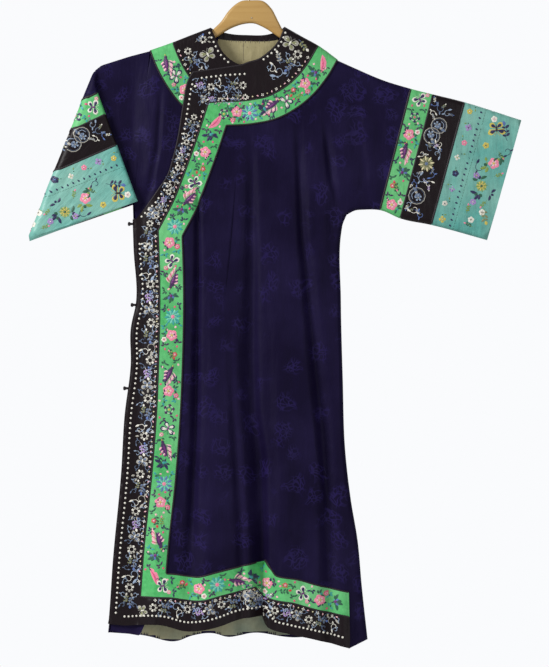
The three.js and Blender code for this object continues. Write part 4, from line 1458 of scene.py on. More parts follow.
class Needlework:
    """Raised stitches on one side of the robe, gathered as small padded shapes."""

    def __init__(
        self, depth_field: DepthField, height: float, drop: Optional[Callable[[Points], Points]] = None
    ) -> None:
        """Start with no stitches.

        Args:
            depth_field: The side of the robe.
            height: Height of the ground that is sewn on.
            drop: How far that ground lies behind the field.
        """
        self.field = depth_field
        self.height = height
        self.drop = drop
        self.plan: list[Points] = []
        self.heights: list[Points] = []
        self.stitch: list[Points] = []
        self.faces: list[Points] = []
        self.threads: list[tuple[Thread, int]] = []
        self.count = 0

    def _add(
        self, spot: Spot, local: Points, heights: Points, stitch: Points, faces: Points, thread: Thread
    ) -> None:
        """Add one shape in a spot's own coordinates.

        Args:
            spot: Where it goes.
            local: Its points as complex numbers.
            heights: Height of each point.
            stitch: Place of each point along and across its stitches.
            faces: Rows of its point numbers.
            thread: The floss.
        """
        placed = spot.middle + spot.turn * local
        self.plan.append(np.stack([placed.real, placed.imag], axis=1))
        self.heights.append(heights)
        self.stitch.append(stitch)
        self.faces.append(faces + self.count)
        self.threads.append((thread, len(faces)))
        self.count += len(local)

    def path(
        self, spot: Spot, points: Points, widths: Points, thread: Thread,
        crown: float = 0.6, lift: float = 0.0,
    ) -> None:
        """Sew a padded shape along a path.

        Args:
            spot: Where it goes.
            points: The path's points as complex numbers.
            widths: Half width at each point.
            thread: The floss.
            crown: How far the middle stands up.
            lift: Extra height, where it lies on other stitches.
        """
        way = np.gradient(points)
        side = 1j * way / np.maximum(np.abs(way), 1e-6)
        rows = np.stack([points - side * widths, points, points + side * widths], axis=1)
        count = len(points)
        run = np.concatenate([[0.0], np.cumsum(np.abs(np.diff(points)))])
        full = widths / max(widths.max(), 1e-6)
        foot = np.full(count, STITCH_FOOT)
        heights = np.stack([foot, foot + crown * np.sqrt(full), foot], axis=1)
        stitch = np.stack([
            np.stack([run, run, run], axis=1), np.stack([-widths, 0.0 * widths, widths], axis=1),
        ], axis=2)
        faces = []
        for i in range(count - 1):
            for k in range(2):
                a = 3 * i + k
                faces.append((a, a + 3, a + 4, a + 1))
        self._add(
            spot, rows.ravel(), heights.ravel() + lift, stitch.reshape(-1, 2), np.array(faces), thread
        )

    def petal(
        self, spot: Spot, base: complex, tip: complex, width: float, thread: Thread,
        belly: float = 0.55, lift: float = 0.0, curve: float = 0.0,
    ) -> None:
        """Sew a petal or leaf from its base to its tip.

        Args:
            spot: Where it goes.
            base: Its root.
            tip: Its point.
            width: Half of its greatest width.
            thread: The floss.
            belly: Where along it the greatest width is, as a share.
            lift: Extra height.
            curve: How far it bends aside, as a share of its length.
        """
        t = np.array([0.0, 0.18, 0.4, 0.62, 0.84, 1.0])
        bent = base + (tip - base) * (t + 1j * curve * 4 * t * (1 - t))
        power = math.log(0.5) / math.log(belly)
        widths = width * np.sin(math.pi * t**power) ** 0.75
        widths[[0, -1]] = 0.06 * width
        self.path(spot, bent, widths, thread, lift=lift)

    def stroke(
        self, spot: Spot, points: Sequence[complex], width: float, thread: Thread,
        lift: float = 0.0, crown: float = 0.35,
    ) -> None:
        """Sew a narrow line of even width through points.

        Args:
            spot: Where it goes.
            points: Its points as complex numbers.
            width: Its width.
            thread: The floss.
            lift: Extra height, where it lies on other stitches.
            crown: How far the middle stands up.
        """
        line = smoothed(np.array([(p.real, p.imag) for p in map(complex, points)]), 2.2)
        path = line[:, 0] + 1j * line[:, 1]
        widths = np.full(len(path), width / 2)
        widths[[0, -1]] *= 0.4
        self.path(spot, path, widths, thread, crown, lift)

    def ring(self, spot: Spot, middle: complex, radius: float, width: float, thread: Thread) -> None:
        """Sew a round outline."""
        turns = np.linspace(0.0, 2 * math.pi, 13)
        self.path(spot, middle + radius * np.exp(1j * turns), np.full(13, width / 2), thread, 0.35)

    def disc(
        self, spot: Spot, middle: complex, radius: float, thread: Thread,
        crown: float = 0.7, lift: float = 0.0,
    ) -> None:
        """Sew a small round.

        Args:
            spot: Where it goes.
            middle: Its middle, from the spot.
            radius: Its radius.
            thread: The floss.
            crown: How far the middle stands up.
            lift: Extra height, where it lies on other stitches.
        """
        turns = np.exp(2j * math.pi * np.arange(8) / 8)
        local = np.concatenate([[middle], middle + 0.62 * radius * turns, middle + radius * turns])
        heights = np.concatenate([[crown], np.full(8, 0.8 * crown), np.full(8, 0.1)]) + lift
        stitch = np.stack([local.real, local.imag], axis=1)
        faces = [(0, 1 + k, 1 + (k + 1) % 8, 1 + (k + 1) % 8) for k in range(8)]
        faces += [(1 + k, 9 + k, 9 + (k + 1) % 8, 1 + (k + 1) % 8) for k in range(8)]
        self._add(spot, local, heights, stitch, np.array(faces), thread)

    def sewn(self, name: str, slot: str, floss: dict[Thread, bpy.types.Material]) -> bpy.types.Object:
        """Make the stitches one piece.

        Args:
            name: The piece's name.
            slot: The material slot of its ground; not used.
            floss: The material of each thread.

        Returns:
            The piece.
        """
        plan = np.vstack(self.plan)
        heights = np.concatenate(self.heights) + self.height
        if self.drop is not None:
            heights -= self.drop(plan)
        points = self.field.lifted(plan, heights)
        mesh = bpy.data.meshes.new(name)
        faces = np.vstack(self.faces)
        if self.field.sign > 0:
            faces = faces[:, ::-1]
        loops = without_repeats(faces.tolist())
        mesh.from_pydata((points * MM).tolist(), [], loops)
        lay_flat(mesh, np.vstack(self.stitch))
        used = sorted({thread for thread, _ in self.threads}, key=lambda thread: thread.name)
        for thread in used:
            mesh.materials.append(floss[thread])
        indices = np.concatenate([np.full(count, used.index(thread)) for thread, count in self.threads])
        mesh.polygons.foreach_set("material_index", indices.astype(np.int32))
        mesh.shade_smooth()
        mesh.update()
        piece = linked(name, mesh)
        declare(piece, [])
        log.info("%s: %d stitched faces", name, len(loops))
        return piece


@dataclass(frozen=True)
class Motifs:
    """The flowers, leaves and winged motifs that the borders repeat, each drawn about a spot."""

    sew: Needlework

    def blossom(
        self, spot: Spot, radius: float, outer: Thread, inner: Thread, heart: Thread, petals: int = 5
    ) -> None:
        """Sew an open flower with rounded petals.

        Args:
            spot: Where it goes.
            radius: Its radius.
            outer: Tone of the outer petals.
            inner: Tone of the inner petals.
            heart: Tone of the middle.
            petals: How many petals.
        """
        for k in range(petals):
            one = spot.moved(0.0, 360.0 * k / petals + 18.0)
            self.sew.petal(one, 0.12 * radius, radius, 0.46 * radius, outer, 0.62)
            self.sew.petal(one, 0.1 * radius, 0.62 * radius, 0.2 * radius, inner, 0.6, 0.35)
        self.sew.disc(spot, 0.0, 0.22 * radius, heart, 0.7, 0.4)

    def leaves(self, spot: Spot, length: float, count: int, tone: Thread, second: Thread) -> None:
        """Sew a fan of pointed leaves on short stems.

        Args:
            spot: Where it goes.
            length: Its length.
            count: How many leaves.
            tone: Its first tone.
            second: Its second tone.
        """
        for k in range(count):
            one = spot.moved(0.0, -70.0 + 140.0 * k / max(count - 1, 1))
            reach = length * (0.75 + 0.25 * math.cos(2.4 * k + 0.6))
            leaf = second if k % 3 == 1 else tone
            self.sew.petal(one, 0.2 * reach, reach, 0.17 * length, leaf, 0.5, 0.0, 0.1)

    def sprig(self, spot: Spot, length: float, stem: Thread, leaf: Thread, bud: Thread) -> None:
        """Sew a bent stem with pairs of leaves and a bud at its end.

        Args:
            spot: Where it goes.
            length: Its length.
            stem: Tone of the stem.
            leaf: Tone of the leaves.
            bud: Tone of the buds.
        """
        way = [0.0, length * (0.35 + 0.08j), length * (0.7 - 0.04j), length * (1.0 + 0.1j)]
        self.sew.stroke(spot, way, 0.9, stem)
        for k, share in enumerate((0.3, 0.55, 0.8)):
            root = length * (share + 0.03j)
            side = 1 if k % 2 else -1
            tip = root + 0.3 * length * complex(math.cos(0.9), side * math.sin(0.9))
            self.sew.petal(spot, root, tip, 0.085 * length, leaf, 0.5)
            tip = root + 0.24 * length * complex(math.cos(1.2), -side * math.sin(1.2))
            self.sew.petal(spot, root, tip, 0.07 * length, leaf, 0.5)
        self.sew.petal(spot, length * (0.95 + 0.08j), length * (1.25 + 0.14j), 0.11 * length, bud, 0.5)

    def many_petalled(
        self, spot: Spot, radius: float, outer: Thread, inner: Thread, heart: Thread
    ) -> None:
        """Sew a chrysanthemum with two rings of narrow petals.

        Args:
            spot: Where it goes.
            radius: Its radius.
            outer: Tone of the outer petals.
            inner: Tone of the inner petals.
            heart: Tone of the middle.
        """
        for k in range(16):
            one = spot.moved(0.0, 22.5 * k)
            reach = radius * (1.0 if k % 2 else 0.86)
            self.sew.petal(one, 0.2 * radius, reach, 0.12 * radius, outer if k % 2 else inner, 0.66)
        for k in range(8):
            one = spot.moved(0.0, 45.0 * k + 11.0)
            self.sew.petal(one, 0.1 * radius, 0.5 * radius, 0.1 * radius, inner, 0.6, 0.4)
        self.sew.disc(spot, 0.0, 0.24 * radius, heart, 0.8, 0.5)

    def butterfly(self, spot: Spot, span: float, wing: Thread, edge: Thread, body: Thread) -> None:
        """Sew a butterfly with spread wings, whose head points along the spot's x axis.

        Args:
            spot: Where it goes.
            span: Its width.
            wing: Tone of the wings.
            edge: Tone of their edges.
            body: Tone of the body.
        """
        for side in (1.0, -1.0):
            fore = complex(0.24, side * 0.46) * span
            hind = complex(-0.3, side * 0.34) * span
            self.sew.petal(spot, 0.02 * span, fore, 0.17 * span, edge, 0.68)
            self.sew.petal(spot, 0.06 * span, fore * 0.82, 0.1 * span, wing, 0.68, 0.35)
            self.sew.petal(spot, -0.03 * span, hind, 0.15 * span, edge, 0.66)
            self.sew.petal(spot, -0.05 * span, hind * 0.8, 0.085 * span, wing, 0.66, 0.35)
            self.sew.disc(spot, fore * 0.66, 0.035 * span, body, 0.4, 0.8)
            feeler = [0.14 * span, span * complex(0.28, side * 0.08), span * complex(0.38, side * 0.16)]
            self.sew.stroke(spot, feeler, 0.7, edge)
        self.sew.petal(spot, -0.2 * span, 0.18 * span, 0.05 * span, body, 0.6, 0.5)

    def bird(
        self, spot: Spot, length: float, body: Thread, wing: Thread, tail: Thread, fringe: Thread
    ) -> None:
        """Sew a long bird with drooping fringed feathers; its head points along the x axis.

        Args:
            spot: Where it goes.
            length: Its length.
            body: Tone of the body.
            wing: Tone of the wings.
            tail: Tone of every fourth feather.
            fringe: Tone of the other feathers.
        """
        for k in range(12):
            root = length * (0.16 - 0.05 * k)
            tip = root + length * complex(-0.2 - 0.014 * k, -0.36 + 0.012 * (k % 3) + 0.022 * k)
            self.sew.petal(spot, root, tip, 0.032 * length, tail if k % 4 == 1 else fringe, 0.75, 0.0, 0.1)
        for k in range(6):
            root = length * (0.1 - 0.08 * k)
            tip = root + length * complex(-0.12, 0.3 - 0.03 * k)
            self.sew.petal(spot, root, tip, 0.05 * length, wing if k % 2 else fringe, 0.6, 0.2, -0.1)
        self.sew.petal(spot, -0.46 * length, 0.34 * length, 0.14 * length, body, 0.62, 0.4, 0.05)
        self.sew.petal(spot, -0.3 * length, 0.16 * length, 0.05 * length, wing, 0.6, 0.9, 0.05)
        self.sew.disc(spot, 0.32 * length, 0.08 * length, body, 0.7, 0.5)
        self.sew.petal(spot, 0.37 * length, 0.48 * length, 0.025 * length, Thread.YELLOW, 0.4, 0.5)

    def ring_flower(self, spot: Spot, radius: float, tone: Thread, heart: Thread) -> None:
        """Sew a flower as a ring of round outlines about a small heart.

        Args:
            spot: Where it goes.
            radius: Its radius.
            tone: Tone of the outlines.
            heart: Tone of the middle.
        """
        for k in range(5):
            one = spot.moved(0.0, 72.0 * k)
            self.sew.petal(one, 0.42 * radius, radius, 0.3 * radius, tone, 0.6)
        self.sew.ring(spot, 0.0, 0.4 * radius, 0.9, tone)
        self.sew.disc(spot, 0.0, 0.2 * radius, heart, 0.5)

    def scroll(self, spot: Spot, size: float, tone: Thread, side: float = 1.0) -> None:
        """Sew a curled tendril with a leaf at its back.

        Args:
            spot: Where it goes.
            size: Its size.
            tone: Its tone.
            side: 1 or -1, the way that it curls.
        """
        turns = np.linspace(0.0, 1.55 * math.pi, 7)
        curl = [size * (1.0 - 0.13 * a) * complex(math.cos(a), side * math.sin(a)) * 0.42 for a in turns]
        self.sew.stroke(spot, curl, 1.1, tone)
        self.sew.petal(spot, curl[0], curl[0] + size * complex(0.12, -side * 0.5), 0.1 * size, tone, 0.5)
        self.sew.petal(spot, curl[2], curl[2] + size * complex(-0.12, side * 0.34), 0.08 * size, tone, 0.5)

    def roundel(self, spot: Spot, radius: float, rim: Thread, tone: Thread, second: Thread) -> None:
        """Sew a ringed medallion that holds a flower and four leaves.

        Args:
            spot: Where it goes.
            radius: Its radius.
            rim: Tone of the rim.
            tone: Its first tone.
            second: Its second tone.
        """
        self.sew.ring(spot, 0.0, radius, 1.5, rim)
        self.sew.ring(spot, 0.0, 0.86 * radius, 0.6, second)
        self.ring_flower(spot.moved(radius * complex(-0.26, 0.1), 20.0), 0.44 * radius, tone, rim)
        self.leaves(spot.moved(radius * complex(0.1, -0.5), 60.0), 0.9 * radius, 4, second, rim)
        bend = (complex(0.2, 0.6), complex(0.6, 0.2), complex(0.5, -0.4))
        self.sew.stroke(spot, [radius * a for a in bend], 1.2, tone)


@dataclass(frozen=True)
class Strip:
    """A narrow raised strip along a line, such as piping or a sewn fold.

    profile holds pairs of the distance aside and the height over the ground.
    """

    profile: tuple[tuple[float, float], ...] = (
        (-1.9, 0.1), (-1.6, 1.5), (-0.7, 2.2), (0.7, 2.2), (1.6, 1.5), (1.9, 0.1),
    )
    step: float = 3.0

    def laid(
        self, data: MeshData, depth_field: DepthField, line: Line, keep: Callable[[Points], Points],
        drop: Optional[Callable[[Points], Points]] = None,
    ) -> None:
        """Lay the strip along the kept stretches of a line.

        Args:
            data: Where its faces go.
            depth_field: The side of the robe.
            line: The strip's middle.
            keep: Tells which points carry it.
            drop: How far its ground lies behind the field.
        """
        middle = resampled_with_corners(offset_line(line, 0.0), self.step)
        rows = [offset_line(middle, aside) for aside, _ in self.profile]
        wide = len(self.profile)
        plan = np.stack(rows, axis=1).reshape(-1, 2)
        heights = np.tile([height for _, height in self.profile], len(middle))
        if drop is not None:
            heights = heights - drop(plan)
        kept = keep(middle)
        index = np.arange(len(middle))
        good = index[:-1][kept[:-1] & kept[1:]]
        if not len(good):
            return
        faces = []
        for i in good:
            for k in range(wide - 1):
                a = i * wide + k
                faces.append((a, a + 1, a + wide + 1, a + wide))
        faces = np.array(faces)
        used, flat = np.unique(faces, return_inverse=True)
        faces = flat.reshape(faces.shape)
        if depth_field.sign > 0:
            faces = faces[:, ::-1]
        points = depth_field.lifted(plan[used], heights[used])
        run = np.repeat(np.arange(len(middle)) * self.step, wide)
        across = np.tile([aside for aside, _ in self.profile], len(middle))
        data.add(points, faces, np.stack([run, across], axis=1)[used])


def resampled_with_corners(line: Line, step: float) -> Line:
    """Return a line with points closer than a step, and all of its own points kept.

    Args:
        line: Rows of x and z.
        step: Distance between the new points.

    Returns:
        The new line.
    """
    parts = []
    for a, b in zip(line[:-1], line[1:]):
        count = max(1, int(math.ceil(np.linalg.norm(b - a) / step)))
        parts.append(a + (b - a) * (np.arange(count) / count)[:, None])
    return np.vstack([*parts, line[-1:]])


@dataclass
class Robe:
    """The robe's cloth: panels, sleeves, borders and linings."""

    navy: bpy.types.Material
    black: bpy.types.Material
    ribbon: bpy.types.Material
    turquoise: bpy.types.Material
    beige: bpy.types.Material
    grey_green: bpy.types.Material
    sheets: list[tuple[str, tuple[float, float], str, tuple[str, ...], float]] = field(default_factory=list)

    def __post_init__(self) -> None:
        """Lay out the three plans."""
        sleeve_seams = [*RIGHT_SLEEVE.seams(), *LEFT_SLEEVE.seams()]
        inner_front = offset_line(RIBBON_FRONT, HALF_RIBBON)
        outer_front = offset_line(RIBBON_FRONT, -HALF_RIBBON)
        self.front = Plan(FRONT, body_outline(FRONT_NECK, FRONT_HEM), [
            *sleeve_seams, wrap_seam(), resampled(OVERLAP_EDGE, 5.0), inner_front, outer_front,
            resampled(NECK_MITRE, 5.0), resampled(PIT_MITRE, 5.0), resampled(HEM_MITRE, 5.0),
        ])
        lower_neck = BACK_NECK - [0.0, FACING_WIDTH]
        self.back = Plan(BACK, body_outline(BACK_NECK, BACK_HEM), [
            *sleeve_seams, offset_line(RIBBON_BACK, HALF_RIBBON), offset_line(RIBBON_BACK, -HALF_RIBBON),
            lower_neck * [1.28, 1.0], resampled(line_of((-235, -1270), (205, -1270)), 5.0),
        ])
        self.under = Plan(FRONT, self._under_outline(), [
            offset_line(RIBBON_UNDER, HALF_RIBBON), offset_line(RIBBON_UNDER, -HALF_RIBBON),
        ], drop=under_drop)

    @staticmethod
    def _under_outline() -> Line:
        """Return the outline of the under front with its flap down to the hem.

        Returns:
            The closed outline.
        """
        neck = FRONT_NECK[(FRONT_NECK[:, 0] < -17) & (FRONT_NECK[:, 0] > -80)]
        side = SIDE_LEFT[(SIDE_LEFT[:, 1] > -1388) & (SIDE_LEFT[:, 1] < -490)]
        low = UNDERLAP_HEM[1:]
        return np.vstack([
            SHOULDER_LEFT, neck, line_of((-17, -199), (18, -202)), UNDERLAP_EDGE[::-1], low[::-1],
            line_of((-296, -1388)), side[::-1], line_of((-244, -490)),
        ])

    def _sleeve_parts(self, plan: Plan, sleeve: SleeveLines) -> dict[str, Points]:
        """Return which triangles belong to a sleeve's cuff, bands and upper part.

        Args:
            plan: The side's plan.
            sleeve: That sleeve's lines.

        Returns:
            The triangles of each part, by its name.
        """
        centres = plan.centres
        within = sleeve.within(centres)
        cuff, black, green = (within & sleeve.beyond(edge, centres) for edge in SLEEVE_EDGES)
        return {
            "cuff": cuff, "band_black": black & ~cuff, "band_green": green & ~cuff & ~black,
            "sleeve": within & ~cuff & ~black & ~green,
        }

    def _sheet(
        self,
        name: str,
        walls: Sequence[tuple[Plan, Points, float, float]],
        material: bpy.types.Material,
        flat: tuple[float, float],
        rests_on: Sequence[str],
        held: str = "hung",
    ) -> bpy.types.Object:
        """Args:
            name: The solid's name.
            walls: A plan, its triangles and the heights of both faces for each wall.
            material: The finish.
            flat: Width and length of the piece of cloth as cut, in metres.
            rests_on: What holds it.
            held: How it is held.

        Returns:
            The piece.
        """
        data = MeshData()
        area = sum(plan.shell(data, chosen, outer, inner) for plan, chosen, outer, inner in walls)
        piece = data.built(name + "_cloth", material)
        declare(piece, [name])
        self.sheets.append((name, flat, held, tuple(rests_on), area))
        return piece

    def declare_sheets(self) -> None:
        """Log every cloth's area and its share of the flat rectangle that it is cut from.
        """
        for name, flat, held, rests_on, area in self.sheets:
            log.info("%s: %.4f m2, %.2f of its flat rectangle", name, area, area / (flat[0] * flat[1]))

    def build(self) -> None:
        """Make every cloth piece."""
        front, back, under = self.front, self.back, self.under
        front_sleeves = {}
        back_sleeves = {}
        for side, sleeve in (("right", RIGHT_SLEEVE), ("left", LEFT_SLEEVE)):
            front_sleeves[side] = self._sleeve_parts(front, sleeve)
            back_sleeves[side] = self._sleeve_parts(back, sleeve)
        on_front_sleeve = RIGHT_SLEEVE.within(front.centres) | LEFT_SLEEVE.within(front.centres)
        on_back_sleeve = RIGHT_SLEEVE.within(back.centres) | LEFT_SLEEVE.within(back.centres)
        wrapped = ~before_wrap(front.centres) & ~on_front_sleeve
        outer = ~on_front_sleeve & ~past_overlap(front.centres) & ~wrapped
        whole_under = np.ones(len(under.triangles), dtype=bool)
        for name, flat, parts in (
            ("front_outer", (0.56, 1.32), ((front, outer),)),
            ("back", (0.62, 1.32), ((back, ~on_back_sleeve), (front, wrapped))),
            ("front_under", (0.32, 1.29), ((under, whole_under),)),
        ):
            walls = [(plan, chosen, 0.0, -CLOTH) for plan, chosen in parts]
            self._sheet(name, walls, self.navy, flat, ["hanger_wood_shaped"])
        looks = {
            "cuff": (self.turquoise, "turquoise_satin", (0.58, 0.14)),
            "band_black": (self.black, "black_satin", (0.55, 0.07)),
            "band_green": (self.ribbon, "green_ribbon", (0.6, 0.05)),
            "sleeve": (self.navy, "navy_silk", (0.66, 0.22)),
        }
        for side in ("right", "left"):
            for part, (material, slot, flat) in looks.items():
                walls = [
                    (front, front_sleeves[side][part], 0.0, -CLOTH),
                    (back, back_sleeves[side][part], 0.0, -CLOTH),
                ]
                rests_on = "hanger_wood_shaped" if part == "sleeve" else "sleeve_" + side + "_cloth"
                self._sheet(part + "_" + side, walls, material, flat, [rests_on])
        self._build_front_borders(outer)
        self._build_under_borders()
        self._build_back_borders()
        self._build_linings()

    def _trim(
        self,
        name: str,
        plan: Plan,
        chosen: Points,
        flat: tuple[float, float],
        base: str,
        look: Optional[tuple[bpy.types.Material, str]] = None,
    ) -> None:
        """Lay a border or ribbon on a cloth, or a lining under it.

        Args:
            name: The solid's name.
            plan: The plan that it is cut from.
            chosen: Its triangles.
            flat: Width and length of the piece of cloth as cut, in metres.
            base: The cloth that it lies on.
            look: A lining's finish and slot; a border's follow from its name.
        """
        borders = {"black": (self.black, "black_satin"), "green": (self.ribbon, "green_ribbon")}
        faces = (LINING_FACE, LINING_UNDERSIDE) if look else (TRIM_LIFT, TRIM_UNDERSIDE)
        material, slot = look or borders[name.split("_")[0]]
        self._sheet(name, [(plan, chosen, *faces)], material, flat, [base], "laid")

    def _build_front_borders(self, outer: Points) -> None:
        """Make the four mitred stretches of the outer front's black border and ribbon.

        Args:
            outer: The outer front's triangles.
        """
        centres = self.front.centres
        field_side = enclosed(RIBBON_FRONT, HALF_RIBBON, [(700, -1380), (700, -60)], centres)
        navy_side = enclosed(RIBBON_FRONT, -HALF_RIBBON, [(700, -1320), (700, -60)], centres)
        tones = {"black": outer & ~field_side, "green": outer & field_side & ~navy_side}
        neck, pit, hem = (left_of(*mitre, centres) for mitre in (NECK_MITRE, PIT_MITRE, HEM_MITRE))
        for part, area, black_flat, green_flat in (
            ("yoke", neck, (0.33, 0.18), (0.26, 0.18)),
            ("flap", ~neck & pit, (0.3, 0.1), (0.31, 0.1)),
            ("side", ~neck & ~pit & hem, (0.1, 0.9), (0.08, 0.8)),
            ("hem", ~neck & ~pit & ~hem, (0.56, 0.12), (0.46, 0.12)),
        ):
            for tone, flat in (("black", black_flat), ("green", green_flat)):
                self._trim(tone + "_" + part, self.front, tones[tone] & area, flat, "front_outer_cloth")

    def _build_under_borders(self) -> None:
        """Make the black corner and the ribbon of the under front."""
        under = self.under
        area = inside(np.vstack([
            offset_line(OVERLAP_EDGE[OVERLAP_EDGE[:, 1] > -435], -22.0),
            line_of((-400, -429), (-400, -60), (-10, -60)),
        ]), under.centres)
        inner = enclosed(RIBBON_UNDER, -HALF_RIBBON, [(60, -330), (60, -60)], under.centres)
        wide = enclosed(RIBBON_UNDER, HALF_RIBBON, [(60, -340), (60, -60)], under.centres)
        self._trim("black_under", under, area & inner, (0.13, 0.13), "front_under_cloth")
        self._trim("green_under", under, area & wide & ~inner, (0.1, 0.16), "front_under_cloth")

    def _build_back_borders(self) -> None:
        """Make the black border and the ribbon round the back of the neck."""
        back = self.back
        sleeves = RIGHT_SLEEVE.within(back.centres) | LEFT_SLEEVE.within(back.centres)
        body = ~sleeves & (back.centres[:, 1] > -420)
        inner = enclosed(RIBBON_BACK, -HALF_RIBBON, [(200, -60), (-200, -60)], back.centres)
        wide = enclosed(RIBBON_BACK, HALF_RIBBON, [(260, -60), (-260, -60)], back.centres)
        self._trim("black_back", back, body & inner, (0.35, 0.14), "back_cloth")
        self._trim("green_back", back, body & wide & ~inner, (0.42, 0.16), "back_cloth")

    def _build_linings(self) -> None:
        """Make the facing and the lining inside the neck, and the lining that shows at the hem."""
        back = self.back
        x, z = back.centres[:, 0], back.centres[:, 1]
        lower = (BACK_NECK - [0.0, FACING_WIDTH]) * [1.28, 1.0]
        neck = (x > -66) & (x < 61) & (edge_distance(back.centres) > 8.0)
        above = z > look_up(lower, x, 0)
        hem = (z < -1270) & (x > -235) & (x < 205) & (z > look_up(BACK_HEM, x, 0) + 4.0)
        for name, chosen, flat, look in (
            ("facing_neck", neck & above, (0.15, 0.02), (self.black, "black_satin")),
            ("lining_neck", neck & ~above & (z > -200), (0.14, 0.08), (self.beige, "beige_lining")),
            ("lining_hem", hem, (0.47, 0.15), (self.grey_green, "grey_green_lining")),
        ):
            self._trim(name, back, chosen, flat, "back_cloth", look)


class Motif(Enum):
    """Kinds of motif on the ribbon."""

    BIRD = "bird"
    TUFT = "tuft"
    MANY_PETALLED = "many-petalled"
    BLOSSOM = "blossom"
    BUDS = "buds"
    BUTTERFLY = "butterfly"
    LONG_LEAF = "leaf"
    RING_FLOWER = "ring"


def part_of(line: Line, start: tuple[float, float], end: tuple[float, float]) -> Line:
    """Return the part of a line between the points nearest to two places."""
    ends = [int(np.linalg.norm(line - np.array(place), axis=1).argmin()) for place in (start, end)]
    return line[ends[0] : ends[1] + 1]


# Corners of the front ribbon, from the wearer's left shoulder round to the hem's other end
RIBBON_STOPS = ((158, -182), (-66, -300), (-165, -550), (-200, -1287), (204, -1327))
YOKE_LINE, FLAP_LINE, SIDE_LINE, HEM_LINE = (
    part_of(RIBBON_FRONT, start, end) for start, end in zip(RIBBON_STOPS[:-1], RIBBON_STOPS[1:])
)

# The motifs of each stretch in their order along it
RIBBON_STRETCHES = (
    ("yoke", YOKE_LINE, "leaf tuft blossom buds butterfly bird tuft many-petalled blossom ring"),
    ("flap", FLAP_LINE, "leaf tuft blossom buds butterfly bird tuft many-petalled"),
    ("side", SIDE_LINE, (
        "blossom butterfly bird tuft many-petalled blossom buds bird blossom ring butterfly bird tuft "
        "many-petalled blossom buds bird tuft leaf"
    )),
    ("hem", HEM_LINE, "butterfly buds blossom many-petalled bird tuft blossom buds butterfly blossom tuft"),
)
BACK_RIBBON = (
    "tuft bird butterfly blossom buds many-petalled bird blossom tuft butterfly many-petalled blossom"
)
SLEEVE_RIBBON = "blossom buds tuft bird blossom ring butterfly"


